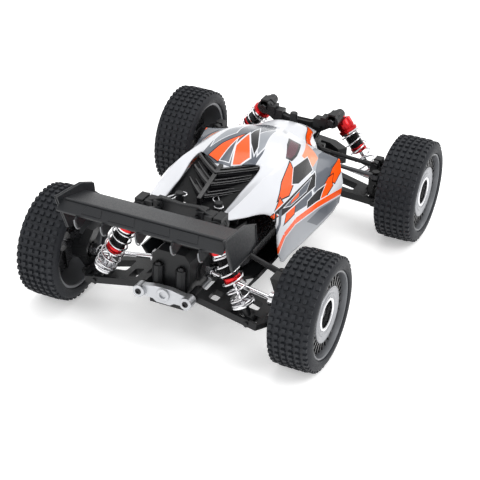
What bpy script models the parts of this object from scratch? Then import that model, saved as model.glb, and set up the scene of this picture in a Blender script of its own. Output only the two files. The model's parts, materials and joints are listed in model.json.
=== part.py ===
"""1:14 scale four-wheel-drive electric off-road buggy, modelled as the pieces it comes apart into.

Frame: +X is forward, +Y is the driver's left, +Z is up. The tyres stand on z = 0 and x = 0 is
halfway along the car. Lengths are millimetres until a mesh is stored, which is in metres.
The suspension rests at full droop: each arm can only swing upwards from here.
"""
import math

import bmesh
import bpy
from mathutils import Matrix, Vector

MM = 0.001

# ---- driving dimensions (mm) ----
LENGTH = 280.0
WHEELBASE = 177.2
FRONT_AXLE_X = 96.6
REAR_AXLE_X = FRONT_AXLE_X - WHEELBASE
TRACK_HALF = 83.0
TYRE_RADIUS = 35.75
TYRE_WIDTH = 28.0
RIM_RADIUS = 27.2
WHEEL_SIDES = 20
FINE = 8
COARSE = 6

PLATE_BOTTOM = 25.0
PLATE_TOP = 27.5
DIFF_Z = 43.0
GAP = 0.3

# Suspension points as (y, z) on the left side; the right side is their mirror image.
REAR_ARM_PIVOT = (15.5, 34.0)
REAR_ARM_END = (62.0, 24.5)
REAR_LINK_IN = (20.0, 63.0)
REAR_LINK_OUT = (61.0, 49.5)
REAR_LINK_X = -72.9
REAR_SHOCK_TOP = (25.0, 79.0)
REAR_SHOCK_END = (50.8, 26.6)
REAR_SHOCK_X = -94.0
REAR_BONE_IN = (17.0, DIFF_Z)
REAR_BONE_OUT = (60.0, TYRE_RADIUS)

FRONT_ARM_PIVOT = (13.0, 29.5)
FRONT_ARM_END = (61.0, 22.5)
FRONT_LINK_IN = (18.0, 53.0)
FRONT_LINK_OUT = (60.0, 50.5)
FRONT_LINK_X = 89.4
FRONT_SHOCK_TOP = (25.2, 74.0)
FRONT_SHOCK_END = (57.0, 31.0)
FRONT_SHOCK_X = 106.0
FRONT_BONE_IN = (16.0, DIFF_Z)
KINGPIN_Y = 64.0

RACK_X = 79.5
RACK_Z = 50.0
TIE_IN = (19.0, RACK_Z)
TIE_OUT = (64.0, 47.5)
# The rods sit this far ahead of their studs, which halves the studs' offset at full lock.
TIE_SHIFT = 0.5
TIE_STUD = 1.2
TIE_BORE = 2.4
SERVO_SHAFT = (57.5, 13.4)

MOTOR_AXIS = (-18.4, DIFF_Z)
SPUR_X = -56.0
SPUR_TEETH = 36
PINION_TEETH = 12
SPUR_RADIUS = 13.4
PINION_RADIUS = 4.6

# ---- finishes: colour, metallic, roughness ----
FINISHES = {
    "black_nylon": ((0.018, 0.019, 0.021), 0.0, 0.5),
    "grey_nylon": ((0.1, 0.105, 0.115), 0.0, 0.5),
    "tyre_rubber": ((0.022, 0.024, 0.028), 0.0, 0.8),
    "rim_black": ((0.02, 0.02, 0.022), 0.0, 0.3),
    "bright_steel": ((0.72, 0.72, 0.74), 1.0, 0.18),
    "spring_steel": ((0.66, 0.66, 0.68), 1.0, 0.22),
    "red_anodised": ((0.55, 0.01, 0.015), 0.85, 0.25),
    "satin_aluminium": ((0.46, 0.47, 0.49), 0.9, 0.42),
    "painted_shell": ((0.82, 0.83, 0.85), 0.0, 0.2),
    "battery_wrap": ((0.02, 0.05, 0.16), 0.0, 0.35),
    "motor_can": ((0.03, 0.03, 0.035), 0.6, 0.35),
    "gear_steel": ((0.3, 0.29, 0.28), 1.0, 0.35),
}


def finish(name):
    """The material of this name, made the first time that it is asked for."""
    material = bpy.data.materials.get(name)
    if material is None:
        colour, metallic, roughness = FINISHES[name]
        material = bpy.data.materials.new(name)
        material.use_nodes = True
        shader = material.node_tree.nodes["Principled BSDF"]
        shader.inputs["Base Color"].default_value = (*colour, 1.0)
        shader.inputs["Metallic"].default_value = metallic
        shader.inputs["Roughness"].default_value = roughness
    return material


# ---- simple solids, each a closed bmesh in millimetres ----
def closed(bm):
    """The bmesh with every face pointing out."""
    bmesh.ops.recalc_face_normals(bm, faces=bm.faces)
    if bm.calc_volume(signed=True) < 0:
        bmesh.ops.reverse_faces(bm, faces=bm.faces)
    return bm


def joined_rings(rings, loop=False):
    """A solid through rings of points; a ring of one point is a tip."""
    bm = bmesh.new()
    layers = [[bm.verts.new(point) for point in ring] for ring in rings]
    count = max(len(layer) for layer in layers)
    pairs = list(zip(layers, layers[1:]))
    if loop:
        pairs.append((layers[-1], layers[0]))
    for low, high in pairs:
        for i in range(count):
            j = (i + 1) % count
            corners = [low[i % len(low)], low[j % len(low)], high[j % len(high)], high[i % len(high)]]
            corners = list(dict.fromkeys(corners))
            bm.faces.new(corners)
    if not loop:
        for layer in (layers[0], layers[-1]):
            if len(layer) > 2:
                bm.faces.new(layer)
    return closed(bm)


def prism(outline, axis, low, high):
    """An outline in the plane across an axis, extruded along it from low to high."""
    place = {
        "x": lambda a, b, t: (t, a, b),
        "y": lambda a, b, t: (a, t, b),
        "z": lambda a, b, t: (a, b, t),
    }[axis]
    return joined_rings([[place(a, b, t) for a, b in outline] for t in (low, high)])


def slab(x, y, z):
    """A box between two corners, given as (low, high) for each axis."""
    return prism([(x[0], y[0]), (x[1], y[0]), (x[1], y[1]), (x[0], y[1])], "z", *z)


def across(axis):
    """Two unit vectors square to an axis and to each other."""
    up = Vector((0, 0, 1)) if abs(axis.z) < 0.9 else Vector((1, 0, 0))
    side = axis.cross(up).normalized()
    return side, side.cross(axis).normalized()


def turned(profile, start, end, sides=FINE, loop=False, phase=0.5):
    """A profile of (distance, radius) points turned about the line from start towards end."""
    start, end = Vector(start), Vector(end)
    axis = (end - start).normalized()
    side, up = across(axis)
    rings = []
    for distance, radius in profile:
        centre = start + axis * distance
        if radius == 0:
            rings.append([centre])
            continue
        angles = [2 * math.pi * (i + phase) / sides for i in range(sides)]
        rings.append([centre + radius * (side * math.cos(a) + up * math.sin(a)) for a in angles])
    return joined_rings(rings, loop)


def rod(start, end, radius, sides=COARSE):
    """A round bar between two points."""
    length = (Vector(end) - Vector(start)).length
    return turned([(0, radius), (length, radius)], start, end, sides)


def eye(centre, outer, bore, half_width, sides=FINE):
    """A round eye whose bore runs along X."""
    profile = [(-half_width, bore), (-half_width, outer), (half_width, outer), (half_width, bore)]
    return turned(profile, centre, Vector(centre) + Vector((1, 0, 0)), sides, loop=True)


def gear(centre, tip_radius, teeth, width):
    """A spur gear about X, with straight-sided teeth."""
    depth = 1.3
    points = []
    for i in range(teeth):
        for share, radius in ((-0.35, tip_radius - depth), (-0.15, tip_radius),
                              (0.15, tip_radius), (0.35, tip_radius - depth)):
            angle = 2 * math.pi * (i + share) / teeth
            points.append((centre[1] + radius * math.cos(angle), centre[2] + radius * math.sin(angle)))
    return prism(points, "x", centre[0] - width / 2, centre[0] + width / 2)


def coil(start, end, radius, wire, turns, steps=10, sides=3):
    """A helical spring between two points, with flat-cut ends."""
    start, end = Vector(start), Vector(end)
    axis = (end - start).normalized()
    side, up = across(axis)
    length = (end - start).length
    rings = []
    for i in range(turns * steps + 1):
        angle = 2 * math.pi * i / steps
        out = side * math.cos(angle) + up * math.sin(angle)
        centre = start + axis * (length * i / (turns * steps)) + out * radius
        corner = [2 * math.pi * k / sides for k in range(sides)]
        rings.append([centre + wire * (out * math.cos(c) + axis * math.sin(c)) for c in corner])
    return joined_rings(rings)


# ---- the tree of moving bodies: an empty on each joint's axis ----
EMPTIES = {}


def body(name, origin, parent=None):
    """An empty on a joint's axis, which the pieces of that body hang from."""
    empty = bpy.data.objects.new(name + "_pivot", None)
    bpy.context.scene.collection.objects.link(empty)
    empty.empty_display_size = 0.01
    origin = Vector(origin)
    if parent:
        empty.parent = EMPTIES[parent][0]
        empty.location = (origin - EMPTIES[parent][1]) * MM
    else:
        empty.location = origin * MM
    EMPTIES[name] = (empty, origin)


def piece(name, body_name, material, adds, cuts=(), turn=None, mirrored=False, late_adds=()):
    """One sub-part: solids joined, cuts taken away, late_adds joined, stored about its body's pivot.

    turn is (pivot, degrees), a rotation about X; mirrored makes the right-hand copy.
    """
    empty, origin = EMPTIES[body_name]
    move = Matrix.Identity(4)
    if turn:
        (pivot_y, pivot_z), degrees = turn
        pivot = Matrix.Translation((0, pivot_y, pivot_z))
        move = pivot @ Matrix.Rotation(math.radians(degrees), 4, "X") @ pivot.inverted()
    if mirrored:
        move = Matrix.Scale(-1, 4, (0, 1, 0)) @ move
    move = Matrix.Scale(MM, 4) @ Matrix.Translation(-origin) @ move
    objects = []
    for bm in [*adds, *cuts, *late_adds]:
        bm.transform(move)
        closed(bm)
        mesh = bpy.data.meshes.new(name)
        bm.to_mesh(mesh)
        bm.free()
        solid = bpy.data.objects.new(name, mesh)
        bpy.context.scene.collection.objects.link(solid)
        objects.append(solid)
    main = objects[0]
    for i, other in enumerate(objects[1:], 1):
        cutting = len(adds) <= i < len(adds) + len(cuts)
        step = main.modifiers.new("cut" if cutting else "join", "BOOLEAN")
        step.operation = "DIFFERENCE" if cutting else "UNION"
        step.object = other
    if len(objects) > 1:
        bpy.context.view_layer.update()
        result = main.evaluated_get(bpy.context.evaluated_depsgraph_get())
        whole = bpy.data.meshes.new_from_object(result)
        main.modifiers.clear()
        main.data = whole
        for other in objects[1:]:
            bpy.data.objects.remove(other)
    main.name = name
    main.data.name = name
    main.parent = empty
    main.data.materials.clear()
    main.data.materials.append(finish(material))
    main.data.shade_smooth()
    main.data.set_sharp_from_angle(angle=math.radians(32))
    return main


# ---- helpers for points on a side ----
def at(x, point):
    """A (y, z) point at a station x."""
    return Vector((x, point[0], point[1]))


def flipped(origin, mirrored):
    """The point, or its mirror image on the right side."""
    origin = Vector(origin)
    return Vector((origin.x, -origin.y, origin.z)) if mirrored else origin


def rounded(points, radius, steps=3):
    """A convex outline with each corner replaced by a short arc."""
    result = []
    count = len(points)
    for i in range(count):
        corner = Vector(points[i])
        before = (Vector(points[i - 1]) - corner).normalized()
        after = (Vector(points[(i + 1) % count]) - corner).normalized()
        half = before.angle(after) / 2
        centre = corner + (before + after).normalized() * (radius / math.sin(half))
        first = corner + before * (radius / math.tan(half)) - centre
        last = corner + after * (radius / math.tan(half)) - centre
        for k in range(steps + 1):
            way = first.lerp(last, k / steps).normalized() * radius
            result.append(tuple(centre + way))
    return result


# ---- wheels ----
def wheel(label, end, mirrored):
    """A tyre and its rim, with the stub axle and drive cup that turn with it."""
    x = FRONT_AXLE_X if end == "front" else REAR_AXLE_X
    centre = Vector((x, TRACK_HALF, TYRE_RADIUS))
    out = centre + Vector((0, 1, 0))
    flat = 1 / math.cos(math.pi / WHEEL_SIDES)
    half = TYRE_WIDTH / 2
    tread = TYRE_RADIUS * flat
    bead = (RIM_RADIUS + GAP) * flat
    tyre = turned([(-12.6, bead), (12.6, bead), (half, bead + 2.5), (half, tread - 2.6), (half - 2.4, tread),
                   (2.4 - half, tread), (-half, tread - 2.6), (-half, bead + 2.5)],
                  centre, out, WHEEL_SIDES, loop=True)
    body_name = f"{end}_wheel_{label}"
    piece(f"{end}_tyre_{label}", body_name, "tyre_rubber", [tyre], mirrored=mirrored)
    face = turned([(8.0, 0), (8.0, 8.3), (10.0, 8.6), (10.0, 17.3), (8.2, 18.0), (8.2, 22.5), (12.4, 24.6),
                   (12.4, RIM_RADIUS), (-12.4, RIM_RADIUS), (-12.4, 25.2), (4.0, 23.6), (5.0, 6.5),
                   (0.5, 6.2), (0.5, 0)], centre, out, WHEEL_SIDES)
    cup_at = (REAR_BONE_OUT[0] if end == "rear" else KINGPIN_Y) - TRACK_HALF
    mouth = cup_at - 2.6
    stub = turned([(1.5, 0), (1.5, 2.4), (cup_at + 5.2, 2.4), (cup_at + 4.6, 4.3), (mouth, 4.3), (mouth, 3.3),
                   (cup_at + 3.2, 3.3), (cup_at + 3.2, 0)], centre, out, FINE)
    piece(f"{end}_rim_{label}", body_name, "rim_black", [face, stub], mirrored=mirrored)


def shock(label, end, mirrored):
    """An oil-filled coil-over damper: body with cap, piston rod with spring cup, and spring."""
    rear = end == "rear"
    x = REAR_SHOCK_X if rear else FRONT_SHOCK_X
    top = at(x, REAR_SHOCK_TOP if rear else FRONT_SHOCK_TOP)
    foot = at(x, REAR_SHOCK_END if rear else FRONT_SHOCK_END)
    length = (foot - top).length
    axis = (foot - top).normalized()
    barrel_end = 33.0 if rear else 29.5
    perch = length - (11.6 if rear else 10.2)
    bore_top = 11.6
    barrel = turned([(2.2, 0), (2.2, 2.3), (3.4, 2.3), (4.6, 5.8), (10.6, 5.8), (11.4, 6.5), (14.4, 6.5),
                     (14.8, 5.0), (barrel_end - 4.2, 5.0), (barrel_end - 4.0, 5.35), (barrel_end, 5.35),
                     (barrel_end, 2.2), (bore_top, 2.2), (bore_top, 0)], top, foot, FINE)
    piece(f"{end}_shock_body_{label}", f"{end}_shock_{label}", "red_anodised",
          [barrel, eye(top, 3.6, 1.8, 2.4)], mirrored=mirrored)
    stem_top = barrel_end - 6.5
    stem = turned([(stem_top, 0), (stem_top, 1.3), (perch, 1.3), (perch, 7.3), (perch + 1.4, 7.3),
                   (perch + 1.8, 3.6), (length - 3.4, 2.6), (length - 2.6, 0)], top, foot, FINE)
    piece(f"{end}_shock_rod_{label}", f"{end}_rod_{label}", "bright_steel",
          [stem, eye(foot, 3.6, 2.0, 2.4)], mirrored=mirrored)
    wire = 0.62
    spring = coil(top + axis * (14.8 + wire + GAP), top + axis * (perch - wire - GAP), 6.6, wire, 5)
    piece(f"{end}_spring_{label}", f"{end}_shock_{label}", "spring_steel", [spring], mirrored=mirrored)


def link(name, body_name, material, start, end, mirrored, stud=2.0):
    """A straight rod with a ball cup at each end, bored along X for its studs."""
    start, end = Vector(start), Vector(end)
    shaft = rod(start.lerp(end, 0.04), start.lerp(end, 0.96), 1.7, COARSE)
    piece(name, body_name, material,
          [shaft, eye(start, 3.1, stud, 1.9, FINE), eye(end, 3.1, stud, 1.9, FINE)],
          [rod(p - Vector((4, 0, 0)), p + Vector((4, 0, 0)), stud, FINE) for p in (start, end)],
          mirrored=mirrored)


def dogbone(label, end, mirrored):
    """A drive shaft with a round head that sits in a cup at each end."""
    x = FRONT_AXLE_X if end == "front" else REAR_AXLE_X
    start = at(x, FRONT_BONE_IN if end == "front" else REAR_BONE_IN)
    stop = at(x, (KINGPIN_Y, TYRE_RADIUS) if end == "front" else REAR_BONE_OUT)
    length = (stop - start).length
    profile = [(-1.9, 0), (-1.4, 1.7), (1.4, 1.7), (2.2, 1.2), (length - 2.2, 1.2), (length - 1.4, 1.7),
               (length + 1.4, 1.7), (length + 1.9, 0)]
    piece(f"{end}_dogbone_{label}", f"{end}_dogbone_{label}", "bright_steel",
          [turned(profile, start, stop, FINE)], mirrored=mirrored)


# ---- rear corner ----
def rear_corner(label, mirrored):
    """One side of the rear suspension."""
    def place(point):
        return flipped(point, mirrored)

    axle = Vector((REAR_AXLE_X, TRACK_HALF, TYRE_RADIUS))
    body(f"rear_arm_{label}", place(at(REAR_AXLE_X, REAR_ARM_PIVOT)))
    body(f"rear_hub_{label}", place(at(REAR_AXLE_X, REAR_ARM_END)), f"rear_arm_{label}")
    body(f"rear_wheel_{label}", place(axle), f"rear_hub_{label}")
    body(f"rear_shock_{label}", place(at(REAR_SHOCK_X, REAR_SHOCK_TOP)))
    body(f"rear_rod_{label}", place(at(REAR_SHOCK_X, REAR_SHOCK_END)), f"rear_shock_{label}")
    body(f"rear_link_{label}", place(at(REAR_LINK_X, REAR_LINK_IN)))
    body(f"rear_dogbone_{label}", place(at(REAR_AXLE_X, REAR_BONE_IN)))

    # The arm is drawn level, then turned down about its pivot to full droop.
    py, pz = REAR_ARM_PIVOT
    reach = math.dist(REAR_ARM_PIVOT, REAR_ARM_END)
    droop = math.degrees(math.atan2(REAR_ARM_END[1] - pz, REAR_ARM_END[0] - py))
    ey = py + reach
    pad = prism([(-99, py + 1), (-64, py + 1), (-72.5, ey - 3), (-72.5, ey), (-88.7, ey), (-99, ey - 5)],
                "z", pz - 2.2, pz + 2.2)
    barrel = rod((-99, py, pz), (-64, py, pz), 3.2, FINE)
    end_barrel = rod((-89.5, ey, pz), (-71.7, ey, pz), 3.1, FINE)
    lift = math.degrees(math.atan2(REAR_SHOCK_END[1] - pz, REAR_SHOCK_END[0] - py)) - droop
    lever = math.dist(REAR_ARM_PIVOT, REAR_SHOCK_END)
    shock_y = py + lever * math.cos(math.radians(lift))
    shock_z = pz + lever * math.sin(math.radians(lift))
    lug = rod((-99.0, shock_y, shock_z), (-88.4, shock_y, shock_z), 2.9)
    pin = rod((-100.0, shock_y, shock_z), (-88.0, shock_y, shock_z), 1.35)
    slots = [prism(rounded([(-95, py + 8), (-84, py + 8), (-84.5, py + 14), (-95, py + 14)], 1.5), "z",
                   pz - 5, pz + 5),
             prism(rounded([(-88, py + 19), (-74, py + 19), (-77, py + 37), (-86, py + 37)], 1.5), "z",
                   pz - 5, pz + 5),
             slab((-96.9, -91.0), (shock_y - 6.5, shock_y + 5.5), (pz - 6, pz + 6)),
             slab((-89.2, -72), (py - 5, py + 4.4), (pz - 5, pz + 5)),
             rod((-105, py, pz), (-60, py, pz), 1.85, FINE),
             slab((-86.2, -75), (ey - 4.2, ey + 5), (pz - 5, pz + 5)),
             rod((-95, ey, pz), (-65, ey, pz), 1.75, FINE)]
    piece(f"rear_arm_{label}", f"rear_arm_{label}", "black_nylon", [pad, barrel, end_barrel, lug], slots,
          turn=(REAR_ARM_PIVOT, droop), mirrored=mirrored, late_adds=[pin])

    # The hub carrier holds the wheel's axle and turns on a pin through the end of the arm.
    hy, hz = REAR_ARM_END
    carrier = [
        rod((-85.8, hy, hz), (-75.4, hy, hz), 3.0, FINE),
        prism([(hy - 2.2, hz), (hy + 2.2, hz), (69.5, 31), (69.5, 41), (64.0, 52.6), (58.6, 52.6), (63, 41),
               (63, 31)], "x", -85.8, -75.4),
        rod((REAR_AXLE_X, 63, TYRE_RADIUS), (REAR_AXLE_X, 73.5, TYRE_RADIUS), 7.4, FINE),
        rod((-90.2, hy, hz), (-71.0, hy, hz), 1.35, FINE),
        rod((-77, REAR_LINK_OUT[0], REAR_LINK_OUT[1]), (REAR_LINK_X + 3.4, *REAR_LINK_OUT), 1.35),
        rod((REAR_LINK_X + 2.4, *REAR_LINK_OUT), (REAR_LINK_X + 3.4, *REAR_LINK_OUT), 2.4),
    ]
    bore = rod((REAR_AXLE_X, 55, TYRE_RADIUS), (REAR_AXLE_X, 80, TYRE_RADIUS), 2.8, FINE)
    cup_room = rod((REAR_AXLE_X, 55, TYRE_RADIUS), (REAR_AXLE_X, 65.4, TYRE_RADIUS), 5.1, FINE)
    piece(f"rear_hub_carrier_{label}", f"rear_hub_{label}", "black_nylon", carrier, [bore, cup_room],
          mirrored=mirrored)

    wheel(label, "rear", mirrored)
    shock(label, "rear", mirrored)
    link(f"rear_camber_link_{label}", f"rear_link_{label}", "black_nylon",
         at(REAR_LINK_X, REAR_LINK_IN), at(REAR_LINK_X, REAR_LINK_OUT), mirrored)
    dogbone(label, "rear", mirrored)


# ---- front corner ----
def front_corner(label, mirrored):
    """One side of the front suspension, with its steering knuckle."""
    def place(point):
        return flipped(point, mirrored)

    x = FRONT_AXLE_X
    body(f"front_arm_{label}", place(at(x, FRONT_ARM_PIVOT)))
    body(f"front_carrier_{label}", place(at(x, FRONT_ARM_END)), f"front_arm_{label}")
    body(f"front_knuckle_{label}", place((x, KINGPIN_Y, TYRE_RADIUS)), f"front_carrier_{label}")
    body(f"front_wheel_{label}", place((x, TRACK_HALF, TYRE_RADIUS)), f"front_knuckle_{label}")
    body(f"front_shock_{label}", place(at(FRONT_SHOCK_X, FRONT_SHOCK_TOP)))
    body(f"front_rod_{label}", place(at(FRONT_SHOCK_X, FRONT_SHOCK_END)), f"front_shock_{label}")
    body(f"front_link_{label}", place(at(FRONT_LINK_X, FRONT_LINK_IN)))
    body(f"front_tie_{label}", place(at(RACK_X, TIE_IN)), "steering_rack")
    body(f"front_dogbone_{label}", place(at(x, FRONT_BONE_IN)))

    py, pz = FRONT_ARM_PIVOT
    reach = math.dist(FRONT_ARM_PIVOT, FRONT_ARM_END)
    droop = math.degrees(math.atan2(FRONT_ARM_END[1] - pz, FRONT_ARM_END[0] - py))
    ey = py + reach
    pad = prism([(80.5, py + 1), (111, py + 1), (105.0, ey - 8), (104.0, ey), (88.6, ey), (87.4, ey - 8)],
                "z", pz - 2.4, pz + 2.4)
    barrel = rod((80.5, py, pz), (111, py, pz), 3.0, FINE)
    end_barrel = rod((88.0, ey, pz), (104.4, ey, pz), 3.0, FINE)
    lift = math.degrees(math.atan2(FRONT_SHOCK_END[1] - pz, FRONT_SHOCK_END[0] - py)) - droop
    lever = math.dist(FRONT_ARM_PIVOT, FRONT_SHOCK_END)
    shock_y = py + lever * math.cos(math.radians(lift))
    shock_z = pz + lever * math.sin(math.radians(lift))
    lug = prism([(shock_y - 5.5, pz), (shock_y + 3, pz), (shock_y + 2.6, shock_z + 1.6),
                 (shock_y, shock_z + 2.9), (shock_y - 2.6, shock_z + 1.6)], "x", 100.4, 103.0)
    pin = turned([(0, 1.35), (7.6, 1.35), (7.6, 2.6), (8.6, 2.6)],
                 (102.0, shock_y, shock_z), (110, shock_y, shock_z), FINE)
    slots = [slab((87.8, 103.2), (py - 5, py + 4.4), (pz - 5, pz + 5)),
             rod((78, py, pz), (113, py, pz), 1.85, FINE),
             prism(rounded([(89, py + 10), (103, py + 10), (101, py + 32), (91, py + 32)], 1.5), "z",
                   pz - 5, pz + 5),
             slab((91.1, 100.4), (ey - 7, ey + 5), (pz - 5, pz + 5)),
             rod((84, ey, pz), (108, ey, pz), 1.75, FINE)]
    piece(f"front_arm_{label}", f"front_arm_{label}", "black_nylon", [pad, barrel, end_barrel, lug, pin],
          slots, turn=(FRONT_ARM_PIVOT, droop), mirrored=mirrored)

    # The C-shaped hub carrier: a spine with a window for the drive shaft, and a lug above and below.
    hy, hz = FRONT_ARM_END
    carrier = [
        rod((91.5, hy, hz), (99.7, hy, hz), 2.9, FINE),
        rod((87.6, hy, hz), (104.8, hy, hz), 1.35, FINE),
        prism([(hy - 2.8, hz), (hy + 2.8, hz), (68.2, 23.4), (68.2, 27.0), (59.0, 27.0), (59.0, 45.2),
               (68.2, 45.2), (67.6, 48.6), (55.4, 48.6), (55.4, 28.4)], "x", 91.6, 99.6),
        rod((x, KINGPIN_Y, 23.4), (x, KINGPIN_Y, 27.0), 3.3, FINE),
        rod((x, KINGPIN_Y, 45.2), (x, KINGPIN_Y, 48.6), 4.4, FINE),
        prism([(56.5, 47.5), (63.0, 47.5), (62.6, 53.2), (57.4, 53.2)], "x", 93.2, 99.6),
        rod((FRONT_LINK_X - 3.2, *FRONT_LINK_OUT), (94, *FRONT_LINK_OUT), 1.35),
        rod((FRONT_LINK_X - 3.2, *FRONT_LINK_OUT), (FRONT_LINK_X - 2.3, *FRONT_LINK_OUT), 2.4),
    ]
    window = slab((93.0, 100.2), (50, 60), (29.0, 44.0))
    kingpin_bore = rod((x, KINGPIN_Y, 20), (x, KINGPIN_Y, 52), 2.2, FINE)
    piece(f"front_hub_carrier_{label}", f"front_carrier_{label}", "black_nylon", carrier,
          [window, kingpin_bore], mirrored=mirrored)

    # The knuckle turns on its kingpin inside the carrier and holds the stub axle's bearings.
    knuckle = [
        rod((x, 68.6, TYRE_RADIUS), (x, 76.0, TYRE_RADIUS), 7.6, FINE),
        prism([(61.0, 41.8), (70.5, 41.8), (70.5, 44.8), (61.0, 44.8)], "x", x - 4.4, x + 4.4),
        prism([(61.0, 27.4), (70.5, 27.4), (70.5, 30.2), (61.0, 30.2)], "x", x - 4.4, x + 4.4),
        slab((x - 4.4, x + 4.4), (69.4, 73.0), (27.4, 44.8)),
        rod((x, KINGPIN_Y, 22.8), (x, KINGPIN_Y, 29.0), 1.8, FINE),
        rod((x, KINGPIN_Y, 43.0), (x, KINGPIN_Y, 50.0), 1.8, FINE),
        prism([(x - 3, 61.0), (x - 3, 70.0), (RACK_X + 2.0, TIE_OUT[0] + 2.6),
               (RACK_X - 2.4, TIE_OUT[0] + 1.6), (RACK_X - 2.4, TIE_OUT[0] - 1.6),
               (RACK_X + 2.0, TIE_OUT[0] - 2.6)], "z", 41.8, 44.4),
        rod((RACK_X, TIE_OUT[0], 43.0), (RACK_X, TIE_OUT[0], 51.0), TIE_STUD),
        rod((RACK_X, TIE_OUT[0], 50.4), (RACK_X, TIE_OUT[0], 51.2), 2.9),
    ]
    bores = [rod((x, 64, TYRE_RADIUS), (x, 80, TYRE_RADIUS), 2.8, FINE),
             rod((x, 60, TYRE_RADIUS), (x, 69.6, TYRE_RADIUS), 5.2, FINE)]
    piece(f"front_knuckle_{label}", f"front_knuckle_{label}", "black_nylon", knuckle, bores,
          mirrored=mirrored)

    wheel(label, "front", mirrored)
    shock(label, "front", mirrored)
    link(f"front_camber_link_{label}", f"front_link_{label}", "black_nylon",
         at(FRONT_LINK_X, FRONT_LINK_IN), at(FRONT_LINK_X, FRONT_LINK_OUT), mirrored)
    dogbone(label, "front", mirrored)

    # The tie rod's studs stand upright, so its cups are bored along Z.
    start, end = at(RACK_X, TIE_IN), at(RACK_X + TIE_SHIFT, TIE_OUT)
    up = Vector((0, 0, 1))
    cup = [(-1.6, TIE_BORE), (-1.6, 3.5), (1.6, 3.5), (1.6, TIE_BORE)]
    tie = [rod(start.lerp(end, 0.06), start.lerp(end, 0.94), 1.6, COARSE),
           turned(cup, start, start + up, 10, loop=True), turned(cup, end, end + up, 10, loop=True)]
    piece(f"front_tie_rod_{label}", f"front_tie_{label}", "grey_nylon", tie,
          [rod(p - 4 * up, p + 4 * up, TIE_BORE, FINE) for p in (start, end)], mirrored=mirrored)


# ---- steering ----
def steering():
    """The servo, its horn with a forked end, and the cross bar that the fork pushes."""
    body("steering_rack", (RACK_X, 0, RACK_Z))
    body("servo_horn", (*SERVO_SHAFT, 52.0))
    sx, sy = SERVO_SHAFT
    case = [slab((40, 65), (5.0, 26), (PLATE_TOP + GAP, 47)),
            slab((35.5, 69.5), (6.5, 24.5), (38, 40.4)),
            rod((sx, sy, 46), (sx, sy, 49.4), 5.2, FINE)]
    piece("steering_servo", "root", "black_nylon", case)
    horn = [rod((sx, sy, 49.8), (sx, sy, 57.0), 4.4, FINE),
            prism([(sx, sy - 4), (sx, sy + 4), (RACK_X + 3.4, sy + 3.1), (RACK_X + 3.4, sy - 3.1)], "z",
                  54.2, 56.6)]
    slot = prism([(RACK_X - 3.4, sy - 1.65), (RACK_X + 5, sy - 1.65), (RACK_X + 5, sy + 1.65),
                  (RACK_X - 3.4, sy + 1.65)], "z", 50, 58)
    piece("servo_horn", "servo_horn", "grey_nylon", horn, [slot])
    bar = [slab((RACK_X - 2.0, RACK_X + 2.0), (-15.0, 15.0), (RACK_Z - 1.6, RACK_Z + 1.6)),
           rod((RACK_X, sy, RACK_Z), (RACK_X, sy, 58.0), 1.3)]
    for s in (-1, 1):
        bar.append(slab((RACK_X - 2.0, RACK_X + 2.0), tuple(sorted((s * 12.0, s * 21.5))),
                        (RACK_Z - 4.8, RACK_Z - 3.1)))
        bar.append(slab((RACK_X - 2.0, RACK_X + 2.0), tuple(sorted((s * 12.0, s * 14.8))),
                        (RACK_Z - 4.8, RACK_Z + 1.6)))
        stud_y = s * TIE_IN[0]
        bar.append(rod((RACK_X, stud_y, RACK_Z - 4.0), (RACK_X, stud_y, RACK_Z + 3.4), TIE_STUD))
        bar.append(rod((RACK_X, stud_y, RACK_Z + 2.8), (RACK_X, stud_y, RACK_Z + 3.6), 2.9))
    piece("steering_rack", "steering_rack", "grey_nylon", bar)


# ---- drive train ----
def diff(end, x):
    """A differential: crown gear and case on two out-drive cups that take the drive shafts."""
    body(f"{end}_diff", (x, 0, DIFF_Z))
    inner_y = FRONT_BONE_IN[0] if end == "front" else REAR_BONE_IN[0]
    mouth, floor = inner_y + 3.0, inner_y - 2.6
    profile = [(-mouth, 3.2), (-mouth, 4.4), (-floor + 0.8, 4.4), (-floor + 0.8, 2.6), (-8, 2.6), (-8, 6.5),
               (-4, 8.0), (3, 8.0), (3, 10.2), (6, 9.4), (6, 2.6), (floor - 0.8, 2.6), (floor - 0.8, 4.4),
               (mouth, 4.4), (mouth, 3.2), (floor, 3.2), (floor, 0)]
    profile = [(-floor, 0), (-floor, 3.2)] + profile
    piece(f"{end}_diff", f"{end}_diff", "gear_steel",
          [turned(profile, (x, 0, DIFF_Z), (x, 1, DIFF_Z), FINE)])


def gearbox_shell(x_low, x_high, waist, outline, x_axle, shaft_side):
    """The common shape of both gearboxes: a hollow case with bores for the shafts."""
    adds = [prism(outline, "x", x_low, x_high),
            rod((x_axle, -waist - 0.2, DIFF_Z), (x_axle, waist + 0.2, DIFF_Z), 7.5, FINE)]
    cuts = [rod((x_axle, -8.8, DIFF_Z), (x_axle, 8.8, DIFF_Z), 11.2, FINE),
            rod((x_axle, -30, DIFF_Z), (x_axle, 30, DIFF_Z), 3.1, FINE),
            rod((x_axle, 0, DIFF_Z), (x_axle + 30 * shaft_side, 0, DIFF_Z), 2.5, FINE)]
    return adds, cuts


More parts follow.
